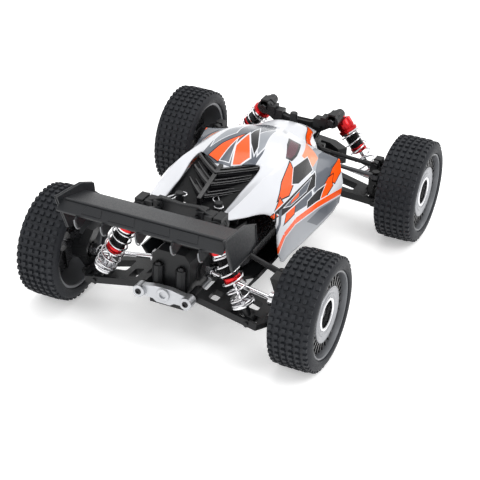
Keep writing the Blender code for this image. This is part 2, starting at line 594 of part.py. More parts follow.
def drive_train():
    """Motor, pinion, spur gear on the centre shaft, and a differential in each gearbox."""
    diff("front", FRONT_AXLE_X)
    diff("rear", REAR_AXLE_X)
    body("centre_shaft", (0, 0, DIFF_Z))
    body("pinion", (SPUR_X, *MOTOR_AXIS))
    shaft_ends = (REAR_AXLE_X + 11.8, FRONT_AXLE_X - 11.8)
    piece("centre_shaft", "centre_shaft", "gear_steel",
          [rod((shaft_ends[0], 0, DIFF_Z), (shaft_ends[1], 0, DIFF_Z), 2.0, FINE),
           gear((SPUR_X, 0, DIFF_Z), SPUR_RADIUS, SPUR_TEETH, 3.0)])
    my, mz = MOTOR_AXIS
    piece("pinion_gear", "pinion", "gear_steel", [gear((SPUR_X, my, mz), PINION_RADIUS, PINION_TEETH, 5.0)])
    can = turned([(0, 0), (0, 4.5), (1.2, 4.5), (1.2, 12.6), (2.2, 13.4), (36.0, 13.4), (37.0, 12.6),
                  (37.0, 4.0), (39.0, 4.0), (39.0, 0)], (SPUR_X + 5.4, my, mz), (0, my, mz), 16)
    piece("motor", "root", "motor_can", [can])

    # Front gearbox: narrow below, where the arms' barrels pass, and wider round the differential.
    waist = 12.0
    outline = [(-9.3, PLATE_TOP + GAP), (9.3, PLATE_TOP + GAP), (9.3, 34), (waist, 35), (waist, 52), (9, 56),
               (-9, 56), (-waist, 52), (-waist, 35), (-9.3, 34)]
    adds, cuts = gearbox_shell(84.2, 110.0, waist, outline, FRONT_AXLE_X, -1)
    for s in (-1, 1):
        stud = (FRONT_LINK_X, s * FRONT_LINK_IN[0], FRONT_LINK_IN[1])
        adds.append(slab((92.9, 96.0), tuple(sorted((s * 8, s * 20.5))), (50.8, 55.0)))
        adds.append(rod((stud[0] - 3.2, stud[1], stud[2]), (94, stud[1], stud[2]), 1.35))
        adds.append(rod((stud[0] - 3.2, stud[1], stud[2]), (stud[0] - 2.3, stud[1], stud[2]), 2.4))
    piece("front_gearbox", "root", "black_nylon", adds, cuts)

    # Rear gearbox, with the two upright screw posts at its back.
    waist = 12.4
    outline = [(-11.4, PLATE_TOP + GAP), (11.4, PLATE_TOP + GAP), (11.4, 38), (waist, 39), (waist, 55),
               (9, 59), (-9, 59), (-waist, 55), (-waist, 39), (-11.4, 38)]
    adds, cuts = gearbox_shell(-97.0, -68.2, waist, outline, REAR_AXLE_X, 1)
    for s in (-1, 1):
        adds.append(rod((-98.0, s * 7.5, 29.0), (-98.0, s * 7.5, 50.0), 3.4, FINE))
        stud = (REAR_LINK_X, s * REAR_LINK_IN[0], REAR_LINK_IN[1])
        adds.append(prism([(s * 5, 55), (s * 12, 52), (s * 22.4, 61), (s * 22.4, 65.4), (s * 5, 65.4)], "x",
                          -79.4, -76.2))
        adds.append(rod((-78, stud[1], stud[2]), (stud[0] + 3.4, stud[1], stud[2]), 1.35))
        adds.append(rod((stud[0] + 2.4, stud[1], stud[2]), (stud[0] + 3.4, stud[1], stud[2]), 2.4))
    piece("rear_gearbox", "root", "black_nylon", adds, cuts)

    # Rear pin holder: an aluminium bar that carries the arms' hinge pins.
    py, pz = REAR_ARM_PIVOT
    bar = [prism([(-py, 30.6), (-7, 30.6), (-4.5, 28.8), (4.5, 28.8), (7, 30.6), (py, 30.6), (py, 37.4),
                  (5, 39.4), (-5, 39.4), (-py, 37.4)], "x", -106.0, -102.0)]
    for s in (-1, 1):
        bar.append(rod((-108.4, s * py, pz), (-101.0, s * py, pz), 3.7, FINE))
        bar.append(rod((-104, s * py, pz), (-61.6, s * py, pz), 1.4, FINE))
    hole = rod((-110, 0, 35), (-98, 0, 35), 2.1, FINE)
    boss = rod((-107.2, 0, 35), (-103, 0, 35), 4.2, FINE)
    piece("rear_pin_holder", "root", "satin_aluminium", bar + [boss], [hole])


# ---- chassis, towers, bumper, wing ----
def mirrored_outline(half):
    """A left-side outline, given front to back, closed with its mirror image."""
    return half + [(x, -y) for x, y in reversed(half)]


def chassis():
    """The tray that everything bolts to, with its raised side guards and the rack's two guides."""
    plan = mirrored_outline([(111.6, 9.2), (78.0, 9.2), (70.0, 26.0), (50.0, 34.0), (-46.0, 34.0),
                             (-60.5, 20.0), (-61.2, 11.2), (-101.4, 11.2)])
    adds = [prism(plan, "z", PLATE_BOTTOM, PLATE_TOP)]
    for s in (-1, 1):
        guard = [(s * 32.6, 25.2), (s * 34.6, 25.2), (s * 40.8, 33.4), (s * 39.2, 34.2)]
        adds.append(prism(guard, "x", -58.0, 62.0))
        guide = slab((RACK_X - 4.2, RACK_X + 4.2), tuple(sorted((s * 2.9, s * 5.6))), (26, 53.6))
        adds.append(guide)
    cuts = [slab((RACK_X - 2.3, RACK_X + 2.3), (-9, 9), (RACK_Z - 1.95, RACK_Z + 1.95))]
    piece("chassis_tray", "root", "black_nylon", adds, cuts)


def tower(name, x, outline, tops, pin_ends, boss_to, nut_to):
    """A shock tower: a ribbed plate with a pin for each shock's top eye."""
    adds = [prism(outline, "x", *x)]
    y, z = tops
    middle = (x[0] + x[1]) / 2
    outward = 1 if pin_ends > x[1] else -1
    for s in (-1, 1):
        adds.append(rod((middle, s * y, z), (boss_to, s * y, z), 3.0))
        adds.append(rod((middle + 0.3 * outward, s * y, z), (pin_ends, s * y, z), 1.35))
        adds.append(rod((pin_ends - 1.1 * outward, s * y, z), (pin_ends + 0.2 * outward, s * y, z), 2.7))
        adds.append(rod((middle + 0.8 * outward, s * y, z), (nut_to, s * y, z), 3.8, FINE))
    piece(name, "root", "black_nylon", adds)


def towers():
    """Both shock towers; the front one also carries the shell's front post."""
    half = [(9.0, 56.4), (13.5, 58.0), (15.5, 63.0), (24.0, 68.5), (29.0, 72.0), (28.5, 77.0), (22.0, 77.6),
            (15.0, 71.5), (8.0, 69.5)]
    outline = [(y, z) for y, z in half] + [(-y, z) for y, z in reversed(half)]
    tower("front_shock_tower", (93.4, 97.0), outline, FRONT_SHOCK_TOP, 109.8, 103.2, 90.8)
    half = [(8.5, 59.4), (13.0, 61.0), (17.0, 66.0), (28.0, 75.0), (29.5, 80.0), (27.0, 83.0), (19.0, 84.0),
            (12.0, 87.0)]
    outline = [(y, z) for y, z in half] + [(-y, z) for y, z in reversed(half)]
    tower("rear_shock_tower", (-86.8, -83.4), outline, REAR_SHOCK_TOP, -98.0, -91.2, -81.6)


def bumper():
    """The front bumper and skid, which also holds the front arms' hinge pins."""
    front = LENGTH / 2
    arc = [(front - 34 * (1 - math.cos(math.radians(a))), 34 * math.sin(math.radians(a)))
           for a in range(-48, 49, 24)]
    back = [(front - 7 - 30 * (1 - math.cos(math.radians(a))), 28 * math.sin(math.radians(a)))
            for a in range(48, -49, -24)]
    ends = front - 34 * (1 - math.cos(math.radians(48)))
    py, pz = FRONT_ARM_PIVOT
    adds = [prism(arc + back, "z", 27.0, 39.0),
            prism([(112.4, -11), (112.4, 11), (ends + 8, 16), (ends + 8, -16)], "z", 26.2, 29.2),
            slab((112.4, 116.8), (-17.4, 17.4), (26.2, 36.0)),
            slab((116.0, 136.0), (-1.5, 1.5), (28.0, 36.0))]
    for s in (-1, 1):
        adds.append(rod((79.6, s * py, pz), (114.0, s * py, pz), 1.4, FINE))
    piece("front_bumper", "root", "black_nylon", adds)


def wing():
    """The rear wing: a cranked deck with end plates, gussets under its lip, and two mount arms."""
    rear = -LENGTH / 2
    half = 51.6
    deck = prism([(-98.0, 88.6), (-131.5, 97.6), (rear, 92.6), (rear + 0.9, 91.0), (-131.2, 95.6),
                  (-98.3, 87.0)], "y", -half, half)
    adds = [deck]
    plate = [(-138.0, 101.0), (-111.0, 98.0), (-97.0, 92.0), (-94.0, 79.0), (-104.0, 76.0), (-126.0, 76.0)]
    for s in (-1, 1):
        adds.append(prism(plate, "y", *sorted((s * (half - 0.5), s * 53.0))))
        arm = [(-87.1, 66.0), (-87.1, 84.0), (-100.0, 90.0), (-118.0, 94.0), (-118.0, 90.0), (-101.0, 85.0),
               (-93.0, 78.0), (-93.0, 66.0)]
        adds.append(prism(arm, "y", *sorted((s * 11.0, s * 14.0))))
    for y in (-38.5, -21.8, 0.0, 21.8, 38.5):
        fin = [(rear + 1.2, 92.0), (-135.5, 86.5), (-128.0, 83.8), (-121.0, 91.5), (-121.0, 94.2),
               (-131.0, 96.4)]
        adds.append(prism(fin, "y", y - 0.7, y + 0.7))
    piece("rear_wing", "root", "black_nylon", adds)


def electrics():
    """Battery pack and the combined speed controller and receiver."""
    adds = [prism(rounded([(-44.0, 8.2), (26.0, 8.2), (26.0, 32.0), (-44.0, 32.0)], 2.5), "z",
                  PLATE_TOP + GAP, 45.5)]
    piece("battery_pack", "root", "battery_wrap", adds)
    adds = [slab((-6.0, 30.0), (-31.5, -6.0), (PLATE_TOP + GAP, 40.0))]
    adds += [slab((-4.0 + 6.0 * i, -1.5 + 6.0 * i), (-29.5, -8.0), (39.0, 45.0)) for i in range(6)]
    piece("speed_controller", "root", "black_nylon", adds)


# ---- body shell ----
# Stations along the shell: x, then (y, z) from the centreline out to the bottom edge.
SHELL_STATIONS = [
    (90.0, [(0, 68.5), (7, 68.0), (14.0, 66.0), (17.0, 64.0), (18.5, 62.0), (19.5, 60.5), (20.0, 59.5)]),
    (76.0, [(0, 75.0), (8, 74.3), (15.0, 71.5), (18.5, 66.5), (20.5, 63.0), (21.5, 60.5), (22.0, 58.5)]),
    (62.0, [(0, 78.5), (8, 78.0), (15.0, 75.5), (21.5, 71.0), (25.5, 67.0), (27.5, 62.0), (28.5, 57.0)]),
    (53.0, [(0, 81.0), (8, 80.3), (15.5, 77.8), (26.0, 73.0), (33.0, 68.5), (36.5, 58.0), (37.5, 46.0)]),
    (48.0, [(0, 82.5), (8, 81.8), (15.5, 79.0), (30.5, 73.5), (48.5, 70.0), (52.0, 54.0), (50.5, 36.5)]),
    (28.0, [(0, 89.5), (9, 89.0), (17.5, 86.5), (29.5, 79.5), (45.0, 68.5), (51.5, 54.5), (50.0, 35.5)]),
    (8.0, [(0, 94.5), (11, 93.5), (20.0, 90.0), (29.0, 83.0), (41.5, 70.5), (50.5, 55.5), (49.0, 35.0)]),
    (-12.0, [(0, 93.5), (11, 92.5), (20.5, 88.0), (29.0, 84.0), (39.0, 73.5), (49.0, 57.5), (48.0, 35.0)]),
    (-28.0, [(0, 88.5), (11, 87.5), (21.0, 85.0), (28.5, 85.5), (37.0, 76.0), (47.0, 59.5), (47.0, 35.5)]),
    (-41.0, [(0, 83.0), (9, 82.0), (19.5, 81.5), (28.0, 85.0), (35.8, 75.5), (43.0, 62.0), (45.5, 36.0)]),
    (-62.0, [(0, 76.0), (8, 76.0), (17.5, 77.0), (27.0, 83.0), (33.0, 75.5), (35.0, 70.0), (35.5, 67.0)]),
    (-79.0, [(0, 75.0), (8, 75.0), (18.0, 75.0), (24.0, 80.0), (28.5, 78.5), (30.5, 76.5), (31.5, 74.5)]),
]
SHELL_THICKNESS = 1.2
SHELL_OPENING_X = -50.0
SHELL_POD_END_X = -45.0


def shell():
    """The painted shell, open underneath and behind, which lifts straight off its posts."""
    body("body_shell", (0, 0, 60))
    origin = EMPTIES["body_shell"][1]
    bm = bmesh.new()
    rows = []
    for x, half in SHELL_STATIONS:
        line = [(-y, z) for y, z in reversed(half)] + half[1:]
        rows.append([bm.verts.new((Vector((x, y, z)) - origin) * MM) for y, z in line])
    middle = len(SHELL_STATIONS[0][1]) - 1
    for i, (front, back) in enumerate(zip(rows, rows[1:])):
        x_back = SHELL_STATIONS[i + 1][0]
        for j in range(len(front) - 1):
            column = min(abs(j - middle), abs(j + 1 - middle))
            if x_back < SHELL_OPENING_X and column < 2:
                continue
            if x_back < SHELL_POD_END_X and column > 3:
                continue
            if i == 0 and column > 1:
                continue
            bm.faces.new((front[j], front[j + 1], back[j + 1], back[j]))
    loose = [v for v in bm.verts if not v.link_faces]
    bmesh.ops.delete(bm, geom=loose, context="VERTS")
    bmesh.ops.recalc_face_normals(bm, faces=bm.faces)
    if max(bm.faces, key=lambda f: f.calc_center_median().z).normal.z < 0:
        bmesh.ops.reverse_faces(bm, faces=bm.faces)
    mesh = bpy.data.meshes.new("body_shell")
    bm.to_mesh(mesh)
    bm.free()
    sheet = bpy.data.objects.new("body_shell", mesh)
    bpy.context.scene.collection.objects.link(sheet)
    sheet.parent = EMPTIES["body_shell"][0]
    wall = sheet.modifiers.new("wall", "SOLIDIFY")
    wall.thickness = SHELL_THICKNESS * MM
    wall.offset = -1.0
    wall.use_even_offset = True
    mesh.materials.append(finish("painted_shell"))
    mesh.shade_smooth()
    mesh.set_sharp_from_angle(angle=math.radians(32))


def main():
    """Clear the scene and build the buggy."""
    for old in list(bpy.data.objects):
        bpy.data.objects.remove(old)
    body("root", (0, 0, 0))
    chassis()
    drive_train()
    towers()
    bumper()
    wing()
    electrics()
    steering()
    for label, mirrored in (("left", False), ("right", True)):
        rear_corner(label, mirrored)
        front_corner(label, mirrored)
    shell()


main()
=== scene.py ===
"""Looks of a 1:14 off-road RC buggy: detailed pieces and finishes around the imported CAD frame.

Shapes are worked out in millimetres in the CAD frame (+X forward, +Y to the driver's left, +Z up) and
stored in metres. Wheels, shocks, links and drive shafts are worked out on the left and mirrored.
"""
import json
import math

import bmesh
import bpy
from mathutils import Matrix, Vector

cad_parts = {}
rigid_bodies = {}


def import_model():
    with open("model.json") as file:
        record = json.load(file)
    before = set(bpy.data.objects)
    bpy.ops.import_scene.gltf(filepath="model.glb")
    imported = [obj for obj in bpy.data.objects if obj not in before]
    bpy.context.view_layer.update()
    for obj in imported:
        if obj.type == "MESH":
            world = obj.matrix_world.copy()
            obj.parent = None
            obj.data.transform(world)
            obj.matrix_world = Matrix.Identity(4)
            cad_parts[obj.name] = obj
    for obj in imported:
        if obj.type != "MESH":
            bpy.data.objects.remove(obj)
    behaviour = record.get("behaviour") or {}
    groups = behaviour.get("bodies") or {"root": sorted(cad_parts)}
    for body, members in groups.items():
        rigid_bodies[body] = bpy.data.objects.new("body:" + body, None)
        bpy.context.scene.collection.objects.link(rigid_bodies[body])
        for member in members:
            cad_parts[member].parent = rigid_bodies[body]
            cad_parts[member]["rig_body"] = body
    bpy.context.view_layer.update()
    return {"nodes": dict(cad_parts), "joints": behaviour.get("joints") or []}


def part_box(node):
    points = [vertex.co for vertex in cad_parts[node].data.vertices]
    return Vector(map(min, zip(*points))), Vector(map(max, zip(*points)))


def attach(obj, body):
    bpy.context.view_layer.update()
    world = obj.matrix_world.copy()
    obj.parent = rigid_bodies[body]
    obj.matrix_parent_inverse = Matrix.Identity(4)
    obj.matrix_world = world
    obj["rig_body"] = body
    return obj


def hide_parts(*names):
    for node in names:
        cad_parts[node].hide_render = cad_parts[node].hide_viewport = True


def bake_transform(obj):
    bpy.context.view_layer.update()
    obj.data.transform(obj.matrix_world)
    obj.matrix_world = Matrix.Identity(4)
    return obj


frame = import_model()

MM = 0.001
SHARP_ANGLE = math.radians(35)
JOINTS = {joint["name"]: joint for joint in frame["joints"]}
SIDES = (("left", 1), ("right", -1))
Y_AXIS = Vector((0, 1, 0))
X_AXIS = Vector((1, 0, 0))
UP = Vector((0, 0, 1))


def joint_point(name):
    """A joint's pivot, in millimetres."""
    return Vector(JOINTS[name]["pos_m"]) / MM


def node_box(name):
    """A CAD node's lowest and highest corners, in millimetres."""
    low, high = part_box(name)
    return low / MM, high / MM


# ---- finishes ----
class Graph:
    """A material's node tree, with short calls for the nodes used here."""

    def __init__(self, name):
        self.material = bpy.data.materials.new(name)
        self.material.use_nodes = True
        self.tree = self.material.node_tree
        self.shader = self.tree.nodes["Principled BSDF"]
        self.place = self.node("ShaderNodeTexCoord").outputs["Object"]

    def node(self, kind, inputs=(), **settings):
        made = self.tree.nodes.new(kind)
        for key, value in settings.items():
            setattr(made, key, value)
        for key, value in dict(inputs).items():
            self.put(made.inputs[key], value)
        return made

    def put(self, socket, value):
        if isinstance(value, bpy.types.NodeSocket):
            self.tree.links.new(value, socket)
        else:
            socket.default_value = value

    def math(self, operation, *values):
        return self.node("ShaderNodeMath", dict(enumerate(values)), operation=operation).outputs[0]

    def noise(self, scale, detail=3.0):
        """Noise over the object's own coordinates; scale is in features per metre."""
        inputs = {"Vector": self.place, "Scale": scale, "Detail": detail}
        return self.node("ShaderNodeTexNoise", inputs).outputs[0]

    def spread(self, value, low, high, start=0.3, stop=0.7):
        """The value remapped from start..stop to low..high."""
        return self.node("ShaderNodeMapRange", {"Value": value, "From Min": start, "From Max": stop,
                                                "To Min": low, "To Max": high}).outputs[0]

    def mix(self, factor, first, second):
        mixed = self.node("ShaderNodeMix", {0: factor}, data_type="RGBA")
        self.put(mixed.inputs[6], first)
        self.put(mixed.inputs[7], second)
        return mixed.outputs[2]

    def bump(self, height, strength, distance):
        made = self.node("ShaderNodeBump", {"Height": height, "Strength": strength, "Distance": distance})
        self.put(self.shader.inputs["Normal"], made.outputs[0])


def tint(colour, share):
    """The colour made lighter or darker, as a shader colour."""
    return (*(min(1.0, c * share) for c in colour), 1.0)


def finish(name, colour, roughness, metallic=0.0, coat=0.0, spread=0.08, grain=900.0, bump=0.15,
           variation=0.12, specular=0.5):
    """A moulded, cast or machined finish: colour and roughness vary over it, and it has a fine grain."""
    graph = Graph(name)
    broad = graph.noise(60.0)
    fine = graph.noise(grain, 2.0)
    graph.put(graph.shader.inputs["Base Color"],
              graph.mix(broad, tint(colour, 1 - variation), tint(colour, 1 + variation)))
    graph.put(graph.shader.inputs["Roughness"],
              graph.spread(fine, max(0.03, roughness - spread), roughness + spread))
    graph.shader.inputs["Metallic"].default_value = metallic
    graph.shader.inputs["Specular IOR Level"].default_value = specular
    graph.shader.inputs["Coat Weight"].default_value = coat
    graph.shader.inputs["Coat Roughness"].default_value = 0.08
    graph.bump(fine, bump, 0.0002)
    return graph.material


NYLON = finish("nylon_black", (0.0075, 0.008, 0.009), 0.42, grain=1800.0, bump=0.25, variation=0.2,
               specular=0.3)
DARK_NYLON = finish("nylon_grey", (0.03, 0.032, 0.036), 0.45, grain=1800.0, bump=0.25)
WING_BLACK = finish("wing_black", (0.011, 0.012, 0.014), 0.42, grain=1400.0, bump=0.3, variation=0.15,
                    specular=0.3)
GLOSS_BLACK = finish("hatch_black", (0.005, 0.005, 0.006), 0.18, coat=0.25, grain=400.0, bump=0.03,
                     specular=0.4)
TYRE = finish("tyre_rubber", (0.013, 0.0145, 0.018), 0.6, spread=0.12, grain=1500.0, bump=0.35,
              variation=0.25, specular=0.25)
WHEEL_BLACK = finish("wheel_black", (0.01, 0.01, 0.011), 0.3, coat=0.3, grain=700.0, bump=0.05)
RIM_GREY = finish("rim_grey", (0.14, 0.145, 0.155), 0.38, metallic=0.4, grain=2500.0, bump=0.06)
WHEEL_SILVER = finish("wheel_silver", (0.3, 0.305, 0.32), 0.34, metallic=0.75, grain=2500.0, bump=0.04)
POLISHED = finish("polished_steel", (0.74, 0.74, 0.76), 0.14, metallic=1.0, spread=0.06, grain=800.0,
                  bump=0.03)
SPRING = finish("spring_steel", (0.7, 0.7, 0.72), 0.2, metallic=1.0, spread=0.08, grain=600.0, bump=0.05)
RED = finish("red_anodised", (0.58, 0.008, 0.012), 0.2, metallic=0.85, coat=0.25, grain=500.0, bump=0.04)
THREAD_BLACK = finish("thread_black", (0.02, 0.02, 0.022), 0.25, metallic=0.6, grain=800.0, bump=0.05)
ALUMINIUM = finish("satin_aluminium", (0.5, 0.51, 0.53), 0.38, metallic=0.9, grain=1600.0, bump=0.12)
SCREW = finish("screw_black", (0.03, 0.03, 0.032), 0.28, metallic=0.8, grain=900.0, bump=0.05)
GEAR = finish("gear_steel", (0.3, 0.29, 0.28), 0.36, metallic=1.0, grain=1200.0, bump=0.1)
MOTOR = finish("motor_can", (0.025, 0.025, 0.028), 0.3, metallic=0.7, grain=1000.0, bump=0.06)
WRAP = finish("battery_wrap", (0.008, 0.012, 0.03), 0.35, coat=0.2, grain=300.0, bump=0.1)
# Lighter grey for the wing fins' curved edges: a painted highlight on black plastic.
FIN_EDGE_HIGHLIGHT_GREY = finish("fin_edge_painted_highlight", (0.16, 0.165, 0.175), 0.35, grain=900.0, bump=0.05)


# ---- solids, in millimetres ----
def joined_rings(rings, loop=False):
    """A solid through rings of points; a ring of one point is a tip."""
    bm = bmesh.new()
    layers = [[bm.verts.new(point) for point in ring] for ring in rings]
    count = max(len(layer) for layer in layers)
    pairs = list(zip(layers, layers[1:]))
    if loop:
        pairs.append((layers[-1], layers[0]))
    for low, high in pairs:
        for i in range(count):
            j = (i + 1) % count
            corners = [low[i % len(low)], low[j % len(low)], high[j % len(high)], high[i % len(high)]]
            corners = list(dict.fromkeys(corners))
            if len(corners) > 2:
                bm.faces.new(corners)
    if not loop:
        for layer in (layers[0], layers[-1]):
            if len(layer) > 2:
                bm.faces.new(layer)
    return closed(bm)


def closed(bm):
    """The bmesh with every face pointing out."""
    bmesh.ops.recalc_face_normals(bm, faces=bm.faces)
    if bm.calc_volume(signed=True) < 0:
        bmesh.ops.reverse_faces(bm, faces=bm.faces)
    return bm


def prism(outline, axis, low, high):
    """An outline across an axis, extruded along it from low to high."""
    place = {
        "x": lambda a, b, t: (t, a, b),
        "y": lambda a, b, t: (a, t, b),
        "z": lambda a, b, t: (a, b, t),
    }[axis]
    return joined_rings([[place(a, b, t) for a, b in outline] for t in (low, high)])


def slab(x, y, z):
    """A box between two corners, given as (low, high) for each axis."""
    return prism([(x[0], y[0]), (x[1], y[0]), (x[1], y[1]), (x[0], y[1])], "z", *z)


def turned(profile, start, end, sides=32, loop=False, phase=0.5):
    """A profile of (distance, radius) points turned about the line from start towards end."""
    start, end = Vector(start), Vector(end)
    axis = (end - start).normalized()
    side = axis.cross(UP if abs(axis.z) < 0.9 else X_AXIS).normalized()
    up = side.cross(axis).normalized()
    rings = []
    for distance, radius in profile:
        centre = start + axis * distance
        if radius == 0:
            rings.append([centre])
            continue
        angles = [2 * math.pi * (i + phase) / sides for i in range(sides)]
        rings.append([centre + radius * (side * math.cos(a) + up * math.sin(a)) for a in angles])
    return joined_rings(rings, loop)


def rod(start, end, radius, sides=24, edge=0.3):
    """A round bar between two points, with softened ends."""
    length = (Vector(end) - Vector(start)).length
    edge = min(edge, radius / 2, length / 3)
    return turned([(0, radius - edge), (edge, radius), (length - edge, radius), (length, radius - edge)],
                  start, end, sides)


def eye(centre, outer, bore, half_width, axis=X_AXIS, sides=28):
    """A round eye whose bore runs along an axis."""
    edge = 0.3
    profile = [(-half_width, bore), (-half_width, outer - edge), (edge - half_width, outer),
               (half_width - edge, outer), (half_width, outer - edge), (half_width, bore)]
    return turned(profile, centre, Vector(centre) + axis, sides, loop=True)


def coil(start, end, radius, wire, turns, steps=26, sides=10):
    """A helical spring between two points, its end turns lying flat."""
    start, end = Vector(start), Vector(end)
    axis = (end - start).normalized()
    side = axis.cross(X_AXIS).normalized()
    up = side.cross(axis).normalized()
    length = (end - start).length
    total = turns * steps
    rings = []
    for i in range(total + 1):
        angle = 2 * math.pi * i / steps
        done = i / total
        flat = 0.75 / turns
        share = min(max((done - flat) / (1 - 2 * flat), 0), 1)
        share = 0.06 * done + 0.94 * share
        out = side * math.cos(angle) + up * math.sin(angle)
        centre = start + axis * (length * share) + out * radius
        corner = [2 * math.pi * k / sides for k in range(sides)]
        rings.append([centre + wire * (out * math.cos(c) + axis * math.sin(c)) for c in corner])
    return joined_rings(rings)


def screw(centre, direction, radius=1.9, height=1.3):
    """A button-head screw with a socket in its head."""
    centre, direction = Vector(centre), Vector(direction)
    return turned([(-0.4, radius), (0.2, radius), (height - 0.3, radius * 0.8), (height, radius * 0.5),
                   (height - 0.9, radius * 0.46), (height - 0.9, 0)],
                  centre, centre + direction, 12)


def merged(solids):
    """Several solids as one bmesh."""
    whole = bmesh.new()
    for bm in solids:
        mesh = bpy.data.meshes.new("part")
        bm.to_mesh(mesh)
        bm.free()
        whole.from_mesh(mesh)
        bpy.data.meshes.remove(mesh)
    return whole


def piece(name, body, material, slot, solids, side=1, bevel=0.0, replaces=()):
    """One visible piece from solids in millimetres, riding on a CAD body; side -1 mirrors it."""
    bm = merged(solids)
    bm.transform(Matrix.Scale(MM, 4))
    if side < 0:
        bm.transform(Matrix.Scale(-1, 4, Y_AXIS))
        bmesh.ops.reverse_faces(bm, faces=bm.faces)
    mesh = bpy.data.meshes.new(name)
    bm.to_mesh(mesh)
    bm.free()
    made = bpy.data.objects.new(name, mesh)
    bpy.context.scene.collection.objects.link(made)
    mesh.materials.append(material)
    mesh.shade_smooth()
    mesh.set_sharp_from_angle(angle=SHARP_ANGLE)
    if bevel:
        rounded = made.modifiers.new("edges", "BEVEL")
        rounded.width = bevel * MM
        rounded.segments = 2
        rounded.limit_method = "ANGLE"
        rounded.angle_limit = SHARP_ANGLE
        rounded.harden_normals = True
    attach(made, body)
    if replaces:
        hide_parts(*replaces)
    return made


# ---- wheels ----
TYRE_RADIUS = 35.75
TYRE_HALF = 14.0
CARCASS_RADIUS = 34.3
TREAD_ROWS = 46
KNOB_PLACES = (-10.9, -6.5, -2.2, 2.2, 6.5, 10.9)
KNOB_SIZE = 2.5
RIM_RADIUS = 27.2
SLOT_FINS = 30
SPOKES = 10
AXLE_CUP_Y = {"front": 64.0, "rear": 60.0}


def knob(centre_angle, across_at, low, high):
    """A tread block: a box standing on the carcass, a little narrower at the top."""
    rings = []
    for radius, share in ((low, 1.15), (high, 0.92)):
        half = KNOB_SIZE * share / 2
        half_angle = half / radius
        ring = []
        for da, dy in ((-1, -1), (1, -1), (1, 1), (-1, 1)):
            a = centre_angle + da * half_angle
            ring.append((radius * math.cos(a), across_at + dy * half, radius * math.sin(a)))
        rings.append(ring)
    return rings


def tyre_solids(centre):
    """The carcass with its round shoulders, and straight rows of square blocks."""
    shoulder = [(12.7, 27.3), (13.3, 27.5), (13.9, 28.4), (TYRE_HALF, 30.2), (13.6, 31.9), (12.6, 33.3),
                (11.0, 34.1), (8.0, CARCASS_RADIUS)]
    profile = shoulder + [(-d, r) for d, r in reversed(shoulder)]
    body = turned(profile, centre, centre + Y_AXIS, 96, loop=True)
    blocks = bmesh.new()
    for row in range(TREAD_ROWS):
        angle = 2 * math.pi * row / TREAD_ROWS
        for across_at in KNOB_PLACES:
            top = TYRE_RADIUS - (0.6 if abs(across_at) > 10 else 0.05)
            rings = knob(angle, across_at, CARCASS_RADIUS - 1.2, top)
            low, high = [[blocks.verts.new(centre + Vector(p)) for p in ring] for ring in rings]
            blocks.faces.new(high)
            blocks.faces.new(low[::-1])
            for i in range(4):
                j = (i + 1) % 4
                blocks.faces.new((low[i], low[j], high[j], high[i]))
    return [body, closed(blocks)]


